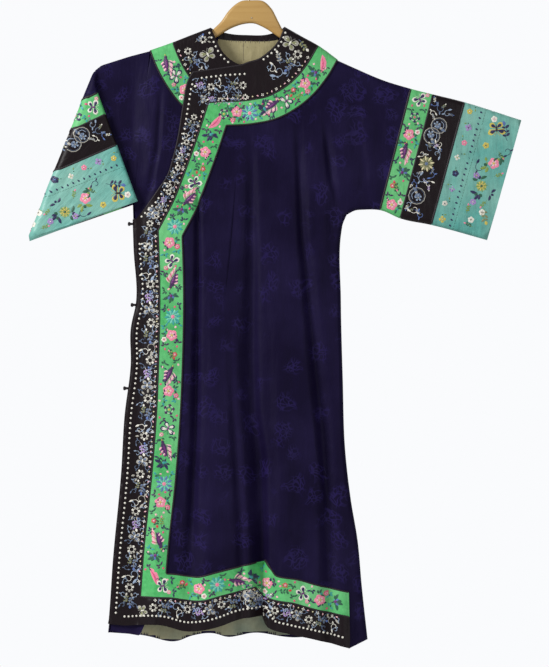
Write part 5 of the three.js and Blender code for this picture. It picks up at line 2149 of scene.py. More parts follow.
@dataclass(frozen=True)
class RibbonWork:
    """Bright motifs on the green ribbon."""

    art: Motifs

    def place(self, spot: Spot, motif: Motif, turn: int) -> None:
        """Sew one motif.

        Args:
            spot: Its middle, whose x axis runs along the ribbon.
            motif: What it is.
            turn: A count that varies its colours and lean.
        """
        lean = (28.0, -22.0, 40.0, -35.0, 8.0)[turn % 5]
        even = turn % 2 == 0
        draw = {
            Motif.BIRD: self._bird, Motif.TUFT: self._tuft, Motif.MANY_PETALLED: self._many,
            Motif.BLOSSOM: self._blossom, Motif.BUDS: self._buds, Motif.BUTTERFLY: self._butterfly,
            Motif.LONG_LEAF: self._long_leaf, Motif.RING_FLOWER: self._ring,
        }[motif]
        draw(spot, lean, even)

    def fill(self, course: Course, words: str, first: int) -> None:
        """Sew a row of motifs at even distances.

        Args:
            course: The ribbon's middle line.
            words: The motifs in their order.
            first: A count that varies their colours.
        """
        motifs = [Motif(word) for word in words.split()]
        pitch = course.length / len(motifs)
        tones = (Thread.LEAF, Thread.NAVY, Thread.TEAL, Thread.PLUM)
        for turn, motif in enumerate(motifs):
            self.place(course.spot((turn + 0.5) * pitch, 1.5 * math.sin(2.0 * turn)), motif, turn + first)
            if turn == len(motifs) - 1:
                continue
            for side in (1.0, -1.0):
                spot = course.spot((turn + 1.0) * pitch - 3.0 * side, 13.0 * side, 35.0 * turn * side)
                tone = tones[(turn + first) % 4]
                self.art.leaves(spot, 11.0, 4, tone, Thread.LEAF)
                bud = spot.moved(-4.0, 180.0)
                self.art.sew.petal(bud, 0.0, 5.5, 2.2, Thread.ROSE if turn % 2 else Thread.PALE_PINK, 0.5)

    def _bird(self, spot: Spot, lean: float, even: bool) -> None:
        """Sew a purple bird with pink feathers.

        Args:
            spot: Where it goes.
            lean: Its turn, in degrees.
            even: Whether its count is even, which picks its colours.
        """
        wing = Thread.ROSE if even else Thread.PURPLE
        turned = spot.moved(3.0 + (3.0j if even else -3.0j), (0.0 if even else 180.0) + 0.6 * lean)
        self.art.bird(turned, 42.0, Thread.PLUM, Thread.PURPLE, wing, Thread.PALE_PINK)
        self.art.leaves(spot.moved(15.0 + 15.0j, lean), 12.0, 4, Thread.LEAF, Thread.NAVY)
        self.art.leaves(spot.moved(-8.0 - 17.0j, 180.0 + lean), 9.0, 3, Thread.NAVY, Thread.LEAF)

    def _tuft(self, spot: Spot, lean: float, even: bool) -> None:
        """Sew a tuft of dark leaves with a bud.

        Args:
            spot: Where it goes.
            lean: Its turn, in degrees.
            even: Whether its count is even, which picks its colours.
        """
        tone, second = (Thread.NAVY, Thread.LEAF) if even else (Thread.LEAF, Thread.BLUE)
        self.art.leaves(spot.moved(-6.0 - 3.0j, lean), 19.0, 6, tone, second)
        self.art.leaves(spot.moved(-4.0 + 1.0j, 180.0 + lean), 12.0, 4, tone, Thread.TEAL)
        bud = Thread.TEAL if even else Thread.PURPLE
        self.art.sew.disc(spot.moved(-5.0 - 1.0j), 0.0, 3.4, bud, 0.9, 0.3)

    def _many(self, spot: Spot, lean: float, even: bool) -> None:
        """Sew a teal flower with many petals.

        Args:
            spot: Where it goes.
            lean: Its turn, in degrees.
            even: Whether its count is even, which picks its colours.
        """
        outer, inner = (Thread.TEAL, Thread.SEA_GREEN) if even else (Thread.BLUE, Thread.SEA_GREEN)
        self.art.many_petalled(spot.moved(1.0j, lean), 18.0, outer, inner, Thread.PINK)
        self.art.leaves(spot.moved(-15.0 - 12.0j, 200.0 + lean), 9.0, 3, Thread.LEAF, Thread.NAVY)

    def _blossom(self, spot: Spot, lean: float, even: bool) -> None:
        """Sew a pink blossom between leaves.

        Args:
            spot: Where it goes.
            lean: Its turn, in degrees.
            even: Whether its count is even, which picks its colours.
        """
        side = 1.0 if even else -1.0
        before = spot.moved(side * 9.0j - 4.0, 90.0 * side + lean)
        behind = spot.moved(-side * 8.0j + 5.0, -90.0 * side - lean)
        self.art.leaves(before, 13.0, 4, Thread.LEAF, Thread.TEAL)
        self.art.leaves(behind, 12.0, 3, Thread.NAVY, Thread.LEAF)
        self.art.blossom(spot.moved(side * -2.0j, lean), 12.0, Thread.PINK, Thread.PALE_PINK, Thread.YELLOW)
        small = spot.moved(side * 14.0j + 9.0, lean)
        self.art.blossom(small, 6.0, Thread.ROSE if even else Thread.WHITE, Thread.PALE_PINK, Thread.RED)

    def _buds(self, spot: Spot, lean: float, even: bool) -> None:
        """Sew a bent branch with coral buds.

        Args:
            spot: Where it goes.
            lean: Its turn, in degrees.
            even: Whether its count is even, which picks its colours.
        """
        branch = spot.moved(-14.0 - 6.0j, 12.0 + 0.3 * lean)
        twig = spot.moved(12.0 + 8.0j, 190.0 + 0.4 * lean)
        flower = spot.moved(1.0 + (9.0j if even else -9.0j))
        self.art.sprig(branch, 24.0, Thread.LEAF, Thread.LEAF, Thread.RED)
        self.art.sprig(twig, 19.0, Thread.LEAF, Thread.MOSS, Thread.PINK)
        self.art.blossom(flower, 5.5, Thread.RED, Thread.PINK, Thread.WHITE)

    def _butterfly(self, spot: Spot, lean: float, even: bool) -> None:
        """Sew a navy and white butterfly.

        Args:
            spot: Where it goes.
            lean: Its turn, in degrees.
            even: Whether its count is even, which picks its colours.
        """
        wing, edge = (Thread.WHITE, Thread.NAVY) if even else (Thread.NAVY, Thread.WHITE)
        self.art.butterfly(spot.moved(0.0, lean), 33.0, wing, edge, Thread.PURPLE)
        self.art.blossom(spot.moved(14.0 - 13.0j), 4.5, Thread.PINK, Thread.WHITE, Thread.RED)

    def _long_leaf(self, spot: Spot, lean: float, even: bool) -> None:
        """Sew a long pink leaf with a dark rib.

        Args:
            spot: Where it goes.
            lean: Its turn, in degrees.
            even: Whether its count is even, which picks its colours.
        """
        side = 1.0 if even else -1.0
        self.art.sew.petal(spot, -17.0 - 8.0j * side, 17.0 + 9.0j * side, 6.5, Thread.PINK, 0.5, 0.0, 0.1)
        self.art.sew.petal(spot, -12.0 - 5.5j * side, 13.0 + 7.0j * side, 1.8, Thread.ROSE, 0.5, 0.5, 0.1)
        self.art.leaves(spot.moved(2.0 + 12.0j * side, lean), 10.0, 3, Thread.LEAF, Thread.NAVY)

    def _ring(self, spot: Spot, lean: float, even: bool) -> None:
        """Sew an outlined flower with leaves.

        Args:
            spot: Where it goes.
            lean: Its turn, in degrees.
            even: Whether its count is even, which picks its colours.
        """
        tone, heart = (Thread.NAVY, Thread.ROSE) if even else (Thread.PLUM, Thread.YELLOW)
        self.art.ring_flower(spot.moved(2.0j, lean), 12.0, tone, heart)
        self.art.sew.ring(spot.moved(2.0j), 0.0, 8.0, 1.0, Thread.WHITE)
        self.art.leaves(spot.moved(-11.0 - 9.0j, 210.0 + lean), 10.0, 3, Thread.LEAF, Thread.TEAL)


@dataclass(frozen=True)
class BlackWork:
    """White, grey and pale blue motifs on black satin."""

    art: Motifs

    def ring(self, spot: Spot, radius: float) -> None:
        """Sew a pale round flower with a dark middle, and two small leaves beside it.

        Args:
            spot: Where it goes.
            radius: Its radius.
        """
        for k in range(7):
            one = spot.moved(0.0, 360.0 * k / 7)
            tone = Thread.WHITE if k % 3 == 2 else Thread.ASH
            self.art.sew.petal(one, 0.5 * radius, radius, 0.26 * radius, tone, 0.55)
        self.art.sew.ring(spot, 0.0, 0.52 * radius, 1.1, Thread.WHITE)
        for side in (1.0, -1.0):
            tip = radius * complex(1.9, 0.7 * side)
            self.art.sew.petal(spot, tip * 0.58, tip, 0.2 * radius, Thread.ASH, 0.5)

    def spray(self, spot: Spot, length: float, turn: int) -> None:
        """Sew a leafy spray in two greys.

        Args:
            spot: Where it goes.
            length: Its length.
            turn: A count that varies its colours.
        """
        tones = (Thread.GREY_BLUE, Thread.ASH, Thread.SLATE, Thread.OLIVE, Thread.WHITE, Thread.LILAC)
        tone, second = tones[turn % 6], tones[(turn + 1) % 6]
        self.art.sprig(spot, length, tone, second, Thread.BLUE if turn % 2 else Thread.WHITE)

    def half_moon(self, spot: Spot, span: float, turn: int) -> None:
        """Sew a butterfly with rounded wings."""
        wing = Thread.SLATE if turn % 2 else Thread.OLIVE
        self.art.butterfly(spot, span, wing, Thread.ASH if turn % 3 else Thread.GREY_BLUE, Thread.WHITE)

    def strip(self, course: Course, size: float, start: float = 6.0) -> None:
        """Fill a narrow strip with flowers, sprays, scrolls and butterflies.

        Args:
            course: The strip's middle line.
            size: Its width.
            start: Distance of the first motif.
        """
        distance = start + 0.45 * size
        turn = 0
        while distance < course.length - 0.4 * size:
            aside = 0.14 * size * math.sin(2.3 * turn)
            kind = turn % 6
            for side in (1.0, -1.0):
                corner = course.spot(distance + 0.42 * size, 0.38 * size * side, 100.0 * turn * side)
                self.art.scroll(corner, 0.4 * size, Thread.SLATE if turn % 2 else Thread.GREY_BLUE, side)
            if kind in (0, 3):
                self.ring(course.spot(distance, aside, 17.0 * turn), 0.3 * size)
                gap = 0.72
            elif kind in (1, 4):
                side = 1.0 if kind == 1 else -1.0
                spot = course.spot(distance - 0.3 * size, side * 0.22 * size, side * -14.0)
                self.spray(spot, 0.74 * size, turn)
                back = course.spot(distance + 0.34 * size, -side * 0.24 * size, 180.0 - side * 12.0)
                self.spray(back, 0.56 * size, turn + 1)
                gap = 0.86
            elif kind == 2:
                tone = Thread.GREY_BLUE if turn % 4 else Thread.ASH
                self.art.scroll(course.spot(distance, 0.12 * size, 40.0), 0.8 * size, tone)
                other = course.spot(distance + 0.3 * size, -0.2 * size, 220.0)
                self.art.scroll(other, 0.6 * size, Thread.WHITE, -1.0)
                gap = 0.8
            else:
                self.half_moon(course.spot(distance, 0.0, 35.0 * math.cos(turn)), 0.84 * size, turn)
                gap = 0.86
            distance += gap * size
            turn += 1

    def dots(self, course: Course, pitch: float) -> None:
        """Sew a row of raised white knots.

        Args:
            course: The line of the row.
            pitch: Distance between knots.
        """
        for k in range(int(course.length / pitch)):
            self.art.sew.disc(course.spot((k + 0.5) * pitch), 0.0, 2.3, Thread.WHITE, 1.7)

    def blossom_row(self, course: Course, pitch: float, aside: float) -> None:
        """Sew small blossoms and single petals in turn.

        Args:
            course: The line that it follows.
            pitch: Distance between them.
            aside: Distance to the left of the line.
        """
        for k in range(int(course.length / pitch)):
            spot = course.spot((k + 0.5) * pitch, aside, 25.0 * k)
            if k % 3 == 1:
                self.art.sew.petal(spot, -2.6, 2.6, 1.3, Thread.PALE_PINK, 0.5)
            elif k % 3 == 2:
                self.art.sew.disc(spot, 0.0, 1.6, Thread.CREAM, 0.9)
            else:
                for turn in range(4):
                    self.art.sew.petal(spot.moved(0.0, 90.0 * turn), 0.5, 3.4, 1.2, Thread.WHITE, 0.6)


@dataclass
class Embroidery:
    """All the sewn work, piece by piece."""

    floss: dict[Thread, bpy.types.Material]
    cord: bpy.types.Material

    def _needle(
        self, depth_field: DepthField, height: float, drop: Optional[Callable[[Points], Points]] = None
    ) -> tuple[Needlework, Motifs, RibbonWork, BlackWork]:
        """Return new needlework and the motifs that sew on it.

        Args:
            depth_field: The side of the robe.
            height: Height of the ground that is sewn on.
            drop: How far that ground lies behind the field.

        Returns:
            The needlework, its motifs, the ribbon's and the black border's.
        """
        sew = Needlework(depth_field, height, drop)
        art = Motifs(sew)
        return sew, art, RibbonWork(art), BlackWork(art)

    def build(self) -> dict[str, list[bpy.types.Object]]:
        """Sew everything.

        Returns:
            The sewn pieces that lie on each cloth, by the cloth's name.
        """
        made = {}
        made.update(self._front())
        made.update(self._under_and_back())
        for side, sleeve in (("right", RIGHT_SLEEVE), ("left", LEFT_SLEEVE)):
            made.update(self._sleeve(side, sleeve))
        return made

    def _front(self) -> dict[str, list[bpy.types.Object]]:
        """Sew the outer front's ribbon and black border.

        Returns:
            The sewn pieces by cloth.
        """
        made = {}
        for first, (name, line, words) in enumerate(RIBBON_STRETCHES):
            sew, _, bright, _ = self._needle(FRONT, TRIM_LIFT)
            bright.fill(Course(line), words, 3 * first)
            made["green_" + name] = [sew.sewn("ribbon_motifs_" + name, "green_ribbon", self.floss)]
        made["black_yoke"] = [self._yoke_border()]
        made["black_flap"] = [self._flap_border()]
        made["black_side"] = [self._side_border()]
        made["black_hem"] = [self._hem_border()]
        return made

    def _yoke_border(self) -> bpy.types.Object:
        """Sew round the neck: winged motifs on both sides, and plain satin between them.

        Returns:
            The sewn piece.
        """
        sew, art, _, dark = self._needle(FRONT, TRIM_LIFT)
        beside = Course(offset_line(YOKE_LINE, HALF_RIBBON + 6.0)[2:])
        dark.blossom_row(beside, 10.5, 0.0)
        dark.strip(Course(line_of((112, -164), (84, -196), (30, -222))), 34.0, 0.0)
        dark.strip(Course(line_of((-6, -240), (-60, -242), (-128, -240))), 28.0, -6.0)
        art.butterfly(Spot(86.0 - 152.0j).moved(0.0, 62.0), 36.0, Thread.OLIVE, Thread.ASH, Thread.WHITE)
        dark.spray(Spot(104.0 - 144.0j).moved(0.0, -56.0), 26.0, 2)
        dark.spray(Spot(66.0 - 196.0j).moved(0.0, 100.0), 24.0, 0)
        dark.strip(Course(line_of((-2, -264), (-60, -270), (-114, -268))), 22.0, -4.0)
        neck = offset_line(part_of(FRONT_NECK, (22, -192), (74, -117)), 7.0)[1:-1]
        dark.dots(Course(neck), 10.5)
        dark.dots(Course(line_of((-4, -216), (-50, -219), (-108, -226))), 10.0)
        return sew.sewn("border_motifs_yoke", "black_satin", self.floss)

    def _flap_border(self) -> bpy.types.Object:
        """Sew the slanting edge of the flap.

        Returns:
            The sewn piece.
        """
        sew, _, _, dark = self._needle(FRONT, TRIM_LIFT)
        dark.blossom_row(Course(offset_line(FLAP_LINE, HALF_RIBBON + 5.5)), 10.5, 0.0)
        dark.strip(Course(offset_line(FLAP_LINE, HALF_RIBBON + 19.5)[2:]), 23.0, 0.0)
        edge = offset_line(part_of(OVERLAP_EDGE, (-126, -224), (-218, -470)), -12.5)
        dark.dots(Course(np.vstack([edge[1:], [(-231.0, -521.0)]])), 10.5)
        dark.half_moon(Spot(-202.0 - 508.0j).moved(0.0, 60.0), 29.0, 1)
        dark.strip(Course(line_of((-206, -524), (-212, -556), (-213, -590))), 25.0, -6.0)
        return sew.sewn("border_motifs_flap", "black_satin", self.floss)

    def _side_border(self) -> bpy.types.Object:
        """Sew down the side.

        Returns:
            The sewn piece.
        """
        sew, _, _, dark = self._needle(FRONT, TRIM_LIFT)
        dark.blossom_row(Course(offset_line(SIDE_LINE, HALF_RIBBON + 5.5)), 10.5, 0.0)
        dark.strip(Course(offset_line(SIDE_LINE, HALF_RIBBON + 22.0)), 33.0, 12.0)
        dark.strip(Course(line_of((-250, -1284), (-254, -1350))), 33.0, -6.0)
        dark.half_moon(Spot(-222.0 - 1340.0j).moved(0.0, 200.0), 26.0, 2)
        edge = part_of(SIDE_LEFT, (-241, -570), (-294, -1352))
        dark.dots(Course(offset_line(edge, -12.5)), 10.5)
        return sew.sewn("border_motifs_side", "black_satin", self.floss)

    def _hem_border(self) -> bpy.types.Object:
        """Sew along the hem.

        Returns:
            The sewn piece.
        """
        sew, _, _, dark = self._needle(FRONT, TRIM_LIFT)
        dark.blossom_row(Course(offset_line(HEM_LINE, HALF_RIBBON + 5.5)), 10.5, 0.0)
        dark.strip(Course(offset_line(HEM_LINE, HALF_RIBBON + 21.0)), 30.0, -12.0)
        edge = offset_line(part_of(FRONT_HEM, (-271, -1372), (204, -1417)), -19.0)
        dark.dots(Course(edge[1:-1]), 8.5)
        return sew.sewn("border_motifs_hem", "black_satin", self.floss)

    def _under_and_back(self) -> dict[str, list[bpy.types.Object]]:
        """Sew the under front's corner, the back of the neck and the inside of the neck.

        Returns:
            The sewn pieces by cloth.
        """
        made = {}
        sew, _, bright, _ = self._needle(FRONT, TRIM_LIFT, under_drop)
        course = Course(part_of(RIBBON_UNDER, (-177, -174), (-124, -262)))
        bright.fill(course, "bird butterfly blossom", 1)
        made["green_under"] = [sew.sewn("ribbon_motifs_under", "green_ribbon", self.floss)]
        sew, art, _, dark = self._needle(FRONT, TRIM_LIFT, under_drop)
        dark.blossom_row(Course(offset_line(course.line, -HALF_RIBBON - 5.5)), 10.5, 0.0)
        dark.strip(Course(line_of((-134, -158), (-112, -196), (-80, -216))), 27.0, 0.0)
        art.butterfly(Spot(-86.0 - 176.0j).moved(0.0, 118.0), 35.0, Thread.OLIVE, Thread.ASH, Thread.WHITE)
        dark.ring(Spot(-96.0 - 144.0j), 8.5)
        dark.spray(Spot(-112.0 - 150.0j).moved(0.0, 40.0), 20.0, 1)
        neck = offset_line(part_of(FRONT_NECK, (-80, -119), (-30, -190)), 7.0)[1:-1]
        dark.dots(Course(neck), 10.5)
        made["black_under"] = [sew.sewn("border_motifs_under", "black_satin", self.floss)]
        sew, _, bright, _ = self._needle(BACK, TRIM_LIFT)
        course = Course(part_of(RIBBON_BACK, (-172, -170), (152, -184)))
        bright.fill(course, BACK_RIBBON, 2)
        made["green_back"] = [sew.sewn("ribbon_motifs_back", "green_ribbon", self.floss)]
        sew, _, _, dark = self._needle(BACK, TRIM_LIFT)
        dark.blossom_row(Course(offset_line(course.line, -HALF_RIBBON - 6.0)), 10.5, 0.0)
        inner = Course(offset_line(part_of(RIBBON_BACK, (-150, -196), (140, -196)), -HALF_RIBBON - 24.0))
        dark.strip(inner, 27.0)
        dark.dots(Course((BACK_NECK - [0.0, 7.0])[3:-3]), 10.5)
        made["black_back"] = [sew.sewn("border_motifs_back", "black_satin", self.floss)]
        made["facing_neck"] = [self._neck_stitches()]
        return made

    def _neck_stitches(self) -> bpy.types.Object:
        """Sew the rough stitches below the facing, and the seam in the lining.

        Returns:
            The sewn piece.
        """
        sew = Needlework(BACK, -3.4)
        edge = Course(resampled((BACK_NECK - [0.0, FACING_WIDTH + 1.0])[4:-4], 2.0))
        for k in range(int(edge.length / 5.0)):
            reach = 2.4 + 1.5 * math.sin(3.1 * k)
            spot = edge.spot(4.0 + 5.0 * k, 0.0, 90.0 + 25.0 * math.sin(1.7 * k))
            sew.stroke(spot, [-reach, 0.2j, reach], 0.8, Thread.BLACK, 0.0, -0.3)
        seam = Spot(-12.0 - 148.0j)
        sew.stroke(seam, [0.0, 0.4 - 12.0j, -0.3 - 24.0j, -38.0j], 0.8, Thread.UMBER, 0.0, -0.3)
        for k in range(9):
            speck = Spot(complex(-40.0 + 9.0 * k, -152.0 - 9.0 * math.sin(2.2 * k)))
            sew.disc(speck, 0.0, 0.6 + 0.2 * math.sin(5.0 * k), Thread.UMBER, -0.15)
        return sew.sewn("neck_stitches", "black_satin", self.floss)

    def _sleeve(self, side: str, sleeve: SleeveLines) -> dict[str, list[bpy.types.Object]]:
        """Sew a sleeve's bands and cuff: on both faces of the right sleeve, and on the back face only of
        the left one.

        Args:
            side: The robe's side.
            sleeve: That sleeve's lines.

        Returns:
            The sewn pieces by cloth.
        """
        made = {part + "_" + side: [] for part in ("band_green", "band_black", "cuff")}
        faces = (("front", FRONT), ("back", BACK)) if side == "right" else (("back", BACK),)
        for face, depth_field in faces:
            name = side + "_" + face
            sew, _, bright, _ = self._needle(depth_field, 0.0)
            middle = sleeve.cross_line(CUFF_WIDTH + BLACK_BAND + GREEN_BAND / 2)
            bright.fill(Course(middle), SLEEVE_RIBBON, len(name))
            made["band_green_" + side].append(sew.sewn("band_motifs_" + name, "green_ribbon", self.floss))
            sew, art, _, dark = self._needle(depth_field, 0.0)
            self._black_band(sleeve, art, dark)
            made["band_black_" + side].append(sew.sewn("medallions_" + name, "black_satin", self.floss))
            sew, art, _, _ = self._needle(depth_field, 0.0)
            self._cuff(sleeve, art)
            made["cuff_" + side].append(sew.sewn("cuff_motifs_" + name, "turquoise_satin", self.floss))
        return made

    def _black_band(self, sleeve: SleeveLines, art: Motifs, dark: BlackWork) -> None:
        """Sew ring medallions, a burst flower, scrolls and sprigs.

        Args:
            sleeve: That sleeve's lines.
            art: The motifs that it is sewn with.
            dark: The black border's motifs.
        """
        course = Course(sleeve.cross_line(CUFF_WIDTH + 44.0))
        length = course.length
        rings = ((0.2, 2.0, 17.5), (0.68, 4.0, 17.0), (0.77, -5.0, 16.5))
        for share, aside, radius in rings:
            spot = course.spot(share * length, aside, 360.0 * share)
            art.roundel(spot, radius, Thread.ASH, Thread.GREY_BLUE, Thread.SLATE)
        art.many_petalled(course.spot(0.46 * length), 17.0, Thread.CREAM, Thread.OLIVE, Thread.SLATE)
        taken = [(0.46, 0.0, 15.0), *rings]
        for turn in range(36):
            distance, aside = (0.04 + 0.027 * turn) * length, (15.0, -16.0, 0.0)[turn % 3]
            clear = min(
                math.hypot(distance - share * length, aside - other) - radius
                for share, other, radius in taken
            )
            spot = course.spot(distance, aside)
            rim = edge_distance(np.array([[spot.middle.real, spot.middle.imag]]))[0]
            if clear < 6.0 or rim < 13.0:
                continue
            tone = (Thread.SLATE, Thread.BLUE, Thread.WHITE, Thread.GREY_BLUE)[turn % 4]
            art.scroll(course.spot(distance, aside, 70.0 * turn), 15.0 + 3.0 * (turn % 3), tone)
            dark.spray(course.spot(distance, aside, 55.0 * turn), 12.0, turn)

    def _cuff(self, sleeve: SleeveLines, art: Motifs) -> None:
        """Sew the cuff: small blossoms, a row of dashes, a stitch line and larger motifs outside it.

        Args:
            sleeve: That sleeve's lines.
            art: The motifs that it is sewn with.
        """
        sew = art.sew
        dashes = Course(sleeve.cross_line(CUFF_WIDTH - 40.0))
        for k in range(int(dashes.length / 12.3)):
            spot = dashes.spot(8.0 + 12.3 * k, 0.0, 66.0 + 9.0 * math.sin(2.0 * k))
            sew.petal(spot, -3.2, 3.2, 1.9, Thread.NAVY, 0.6)
        stitches = Course(sleeve.cross_line(CUFF_WIDTH - 48.0))
        for k in range(int(stitches.length / 6.0)):
            sew.stroke(stitches.spot(3.0 + 6.0 * k), [-2.2, 0.0, 2.2], 0.7, Thread.LEAF)
        inner = Course(sleeve.cross_line(CUFF_WIDTH - 20.0))
        blooms = (
            (Thread.YELLOW, Thread.CREAM), (Thread.WHITE, Thread.NAVY), (Thread.LILAC, Thread.WHITE),
            (Thread.NAVY, Thread.BLUE), (Thread.WHITE, Thread.YELLOW), (Thread.PINK, Thread.WHITE),
            (Thread.LILAC, Thread.PURPLE), (Thread.YELLOW, Thread.WHITE),
        )
        for k, (outer, heart) in enumerate(blooms):
            distance = inner.length * (k + 0.5) / len(blooms)
            spot = inner.spot(distance, 4.0 * math.sin(2.0 * k), 40.0 * k)
            art.blossom(spot, 6.2 if k % 3 else 7.5, outer, outer, heart, 5 if k % 2 else 4)
            beside = inner.spot(distance + 9.0, -5.0 * math.sin(2.0 * k), 90.0 * k)
            art.leaves(beside, 7.0, 2, Thread.MOSS, Thread.LEAF)
        self._cuff_field(Course(sleeve.cross_line(38.0)), art)

    def _cuff_field(self, course: Course, art: Motifs) -> None:
        """Sew the wide outer part of a cuff.

        Args:
            course: The line that it follows.
            art: The motifs that it is sewn with.
        """
        length = course.length
        wings, bloom = course.spot(0.87 * length, 8.0, 200.0), course.spot(0.6 * length, -6.0, 20.0)
        art.butterfly(wings, 40.0, Thread.NAVY, Thread.YELLOW, Thread.BLACK)
        art.sprig(course.spot(0.8 * length, -20.0, 20.0), 34.0, Thread.NAVY, Thread.NAVY, Thread.BLUE)
        art.blossom(bloom, 12.0, Thread.PINK, Thread.PALE_PINK, Thread.YELLOW)
        art.leaves(course.spot(0.66 * length, -14.0, 200.0), 19.0, 5, Thread.LEAF, Thread.MOSS)
        art.leaves(course.spot(0.57 * length, 4.0, 100.0), 20.0, 4, Thread.MOSS, Thread.LEAF)
        art.scroll(course.spot(0.54 * length, 20.0, 60.0), 24.0, Thread.NAVY)
        art.scroll(course.spot(0.72 * length, -26.0, 200.0), 20.0, Thread.NAVY)
        art.many_petalled(course.spot(0.4 * length, 6.0), 13.0, Thread.MOSS, Thread.YELLOW, Thread.LEAF)
        art.leaves(course.spot(0.44 * length, 14.0, 20.0), 19.0, 4, Thread.LEAF, Thread.NAVY)
        art.leaves(course.spot(0.34 * length, 8.0, 160.0), 19.0, 5, Thread.NAVY, Thread.LEAF)
        art.leaves(course.spot(0.36 * length, -16.0, 250.0), 16.0, 3, Thread.NAVY, Thread.NAVY)
        art.sprig(course.spot(0.24 * length, -10.0, 200.0), 30.0, Thread.MOSS, Thread.OLIVE, Thread.YELLOW)
        small = (
            (0.2, -10.0, Thread.WHITE, Thread.UMBER), (0.26, 14.0, Thread.LILAC, Thread.WHITE),
            (0.12, 8.0, Thread.WHITE, Thread.UMBER), (0.72, 20.0, Thread.YELLOW, Thread.NAVY),
            (0.47, 22.0, Thread.LILAC, Thread.YELLOW), (0.94, 18.0, Thread.WHITE, Thread.PINK),
        )
        for turn, (share, aside, petals, heart) in enumerate(small):
            art.blossom(course.spot(share * length, aside, 30.0 * turn), 7.0, petals, petals, heart)
        sprigs = ((0.16, 20.0), (0.07, 0.0), (0.3, -12.0), (0.7, -8.0), (0.5, -14.0))
        for turn, (share, aside) in enumerate(sprigs):
            spot = course.spot(share * length, aside, 75.0 * turn)
            art.sprig(spot, 17.0, Thread.MOSS, Thread.LEAF if turn % 2 else Thread.MOSS, Thread.PINK)

    def build_piping(self) -> None:
        """Sew black piping beside the ribbons, on the neck's and the flap's edge and round the sleeves."""
        front, back, under = MeshData(), MeshData(), MeshData()
        strip = Strip()
        for aside in (HALF_RIBBON, -HALF_RIBBON):
            strip.laid(front, FRONT, offset_line(RIBBON_FRONT, aside), beside_ribbon)
            strip.laid(back, BACK, offset_line(RIBBON_BACK, aside), on_back)
            strip.laid(under, FRONT, offset_line(RIBBON_UNDER, aside), on_under_front, under_drop)
        flap = OVERLAP_EDGE[OVERLAP_EDGE[:, 1] > -498]
        neck = part_of(FRONT_NECK, (-17, -196), (74, -117))
        strip.laid(front, FRONT, offset_line(flap, -PIPING_INSET), on_outer_front)
        strip.laid(front, FRONT, offset_line(neck, PIPING_INSET), on_outer_front)
        strip.laid(back, BACK, BACK_NECK - [0.0, PIPING_INSET], on_back)
        made = [
            front.built("piping_front", self.cord), back.built("piping_back", self.cord),
            under.built("piping_under", self.cord),
        ]
        low = Strip(tuple((aside, height - 1.2 * (height > 1.0)) for aside, height in strip.profile))
        for side, sleeve in (("right", RIGHT_SLEEVE), ("left", LEFT_SLEEVE)):
            data = MeshData()
            for edge in SLEEVE_EDGES:
                line = sleeve.cross_line(edge)
                low.laid(data, BACK, line, away_from_edges)
                low.laid(data, FRONT, line, before_fold)
            made.append(data.built("piping_sleeve_" + side, self.cord))
        for piece in made:
            declare(piece, [])


def tube(data: MeshData, path: Points, radius: float, sides: int = 12) -> None:
    """Add a round tube with closed ends along a path.

    Args:
        data: Where its faces go.
        path: Rows of x, y and z.
        radius: The tube's radius.
        sides: Faces round it.
    """
    ways = np.gradient(path, axis=0)
    ways /= np.linalg.norm(ways, axis=1)[:, None]
    side = np.cross(ways[0], [0.3, 1.0, 0.2])
    rows = []
    turns = 2 * math.pi * np.arange(sides) / sides
    for way, point in zip(ways, path):
        side = side - way * (side @ way)
        side /= np.linalg.norm(side)
        up = np.cross(way, side)
        rows.append(point + radius * (np.cos(turns)[:, None] * side + np.sin(turns)[:, None] * up))
    points = np.vstack([*rows, path[:1], path[-1:]])
    faces = ring_faces(len(path), sides)
    start, end, last = len(points) - 2, len(points) - 1, (len(path) - 1) * sides
    faces += [(start, (k + 1) % sides, k, k) for k in range(sides)]
    faces += [(end, last + k, last + (k + 1) % sides, last + (k + 1) % sides) for k in range(sides)]
    run = np.concatenate([[0.0], np.cumsum(np.linalg.norm(np.diff(path, axis=0), axis=1))])
    around = np.tile(turns * radius, len(path))
    flats = np.stack([np.repeat(run, sides), around], axis=1)
    data.add(points, np.array(faces), np.vstack([flats, [[0.0, 0.0], [run[-1], 0.0]]]))


@dataclass(frozen=True)
class KnotButton:
    """A button knotted from cord, on a short loop at the robe's side edge."""

    name: str
    height: float
    inset: float = 1.8
    cord_radius: float = 1.35

    def build(self, material: bpy.types.Material) -> bpy.types.Object:
        """Tie the knot and its two cords.

        Args:
            material: The finish.

        Returns:
            The piece.
        """
        data = MeshData()
        edge = float(look_up(SIDE_LEFT, np.array([self.height]), 1)[0]) - self.inset
        middle = np.array([edge - 6.3, -self.inset, self.height])
        turns = np.linspace(0.0, 2 * math.pi, 73)
        reach = 1.95 + 1.25 * np.cos(3 * turns)
        bows = (reach * np.cos(2 * turns), 1.2 * np.sin(3 * turns), reach * np.sin(2 * turns))
        loop = np.stack(bows, axis=1)
        tube(data, middle + loop, self.cord_radius, 10)
        for side in (-1.0, 1.0):
            cord = line_of((-3.0, 0.0), (0.5, 0.1), (5.2, 0.0))
            path = np.stack([cord[:, 0], cord[:, 1], np.full(3, 1.25 * side)], axis=1)
            tube(data, middle + path + [1.6, 0.0, 0.0], self.cord_radius, 8)
        piece = data.built(self.name + "_tied", material)
        return declare(piece, [self.name])


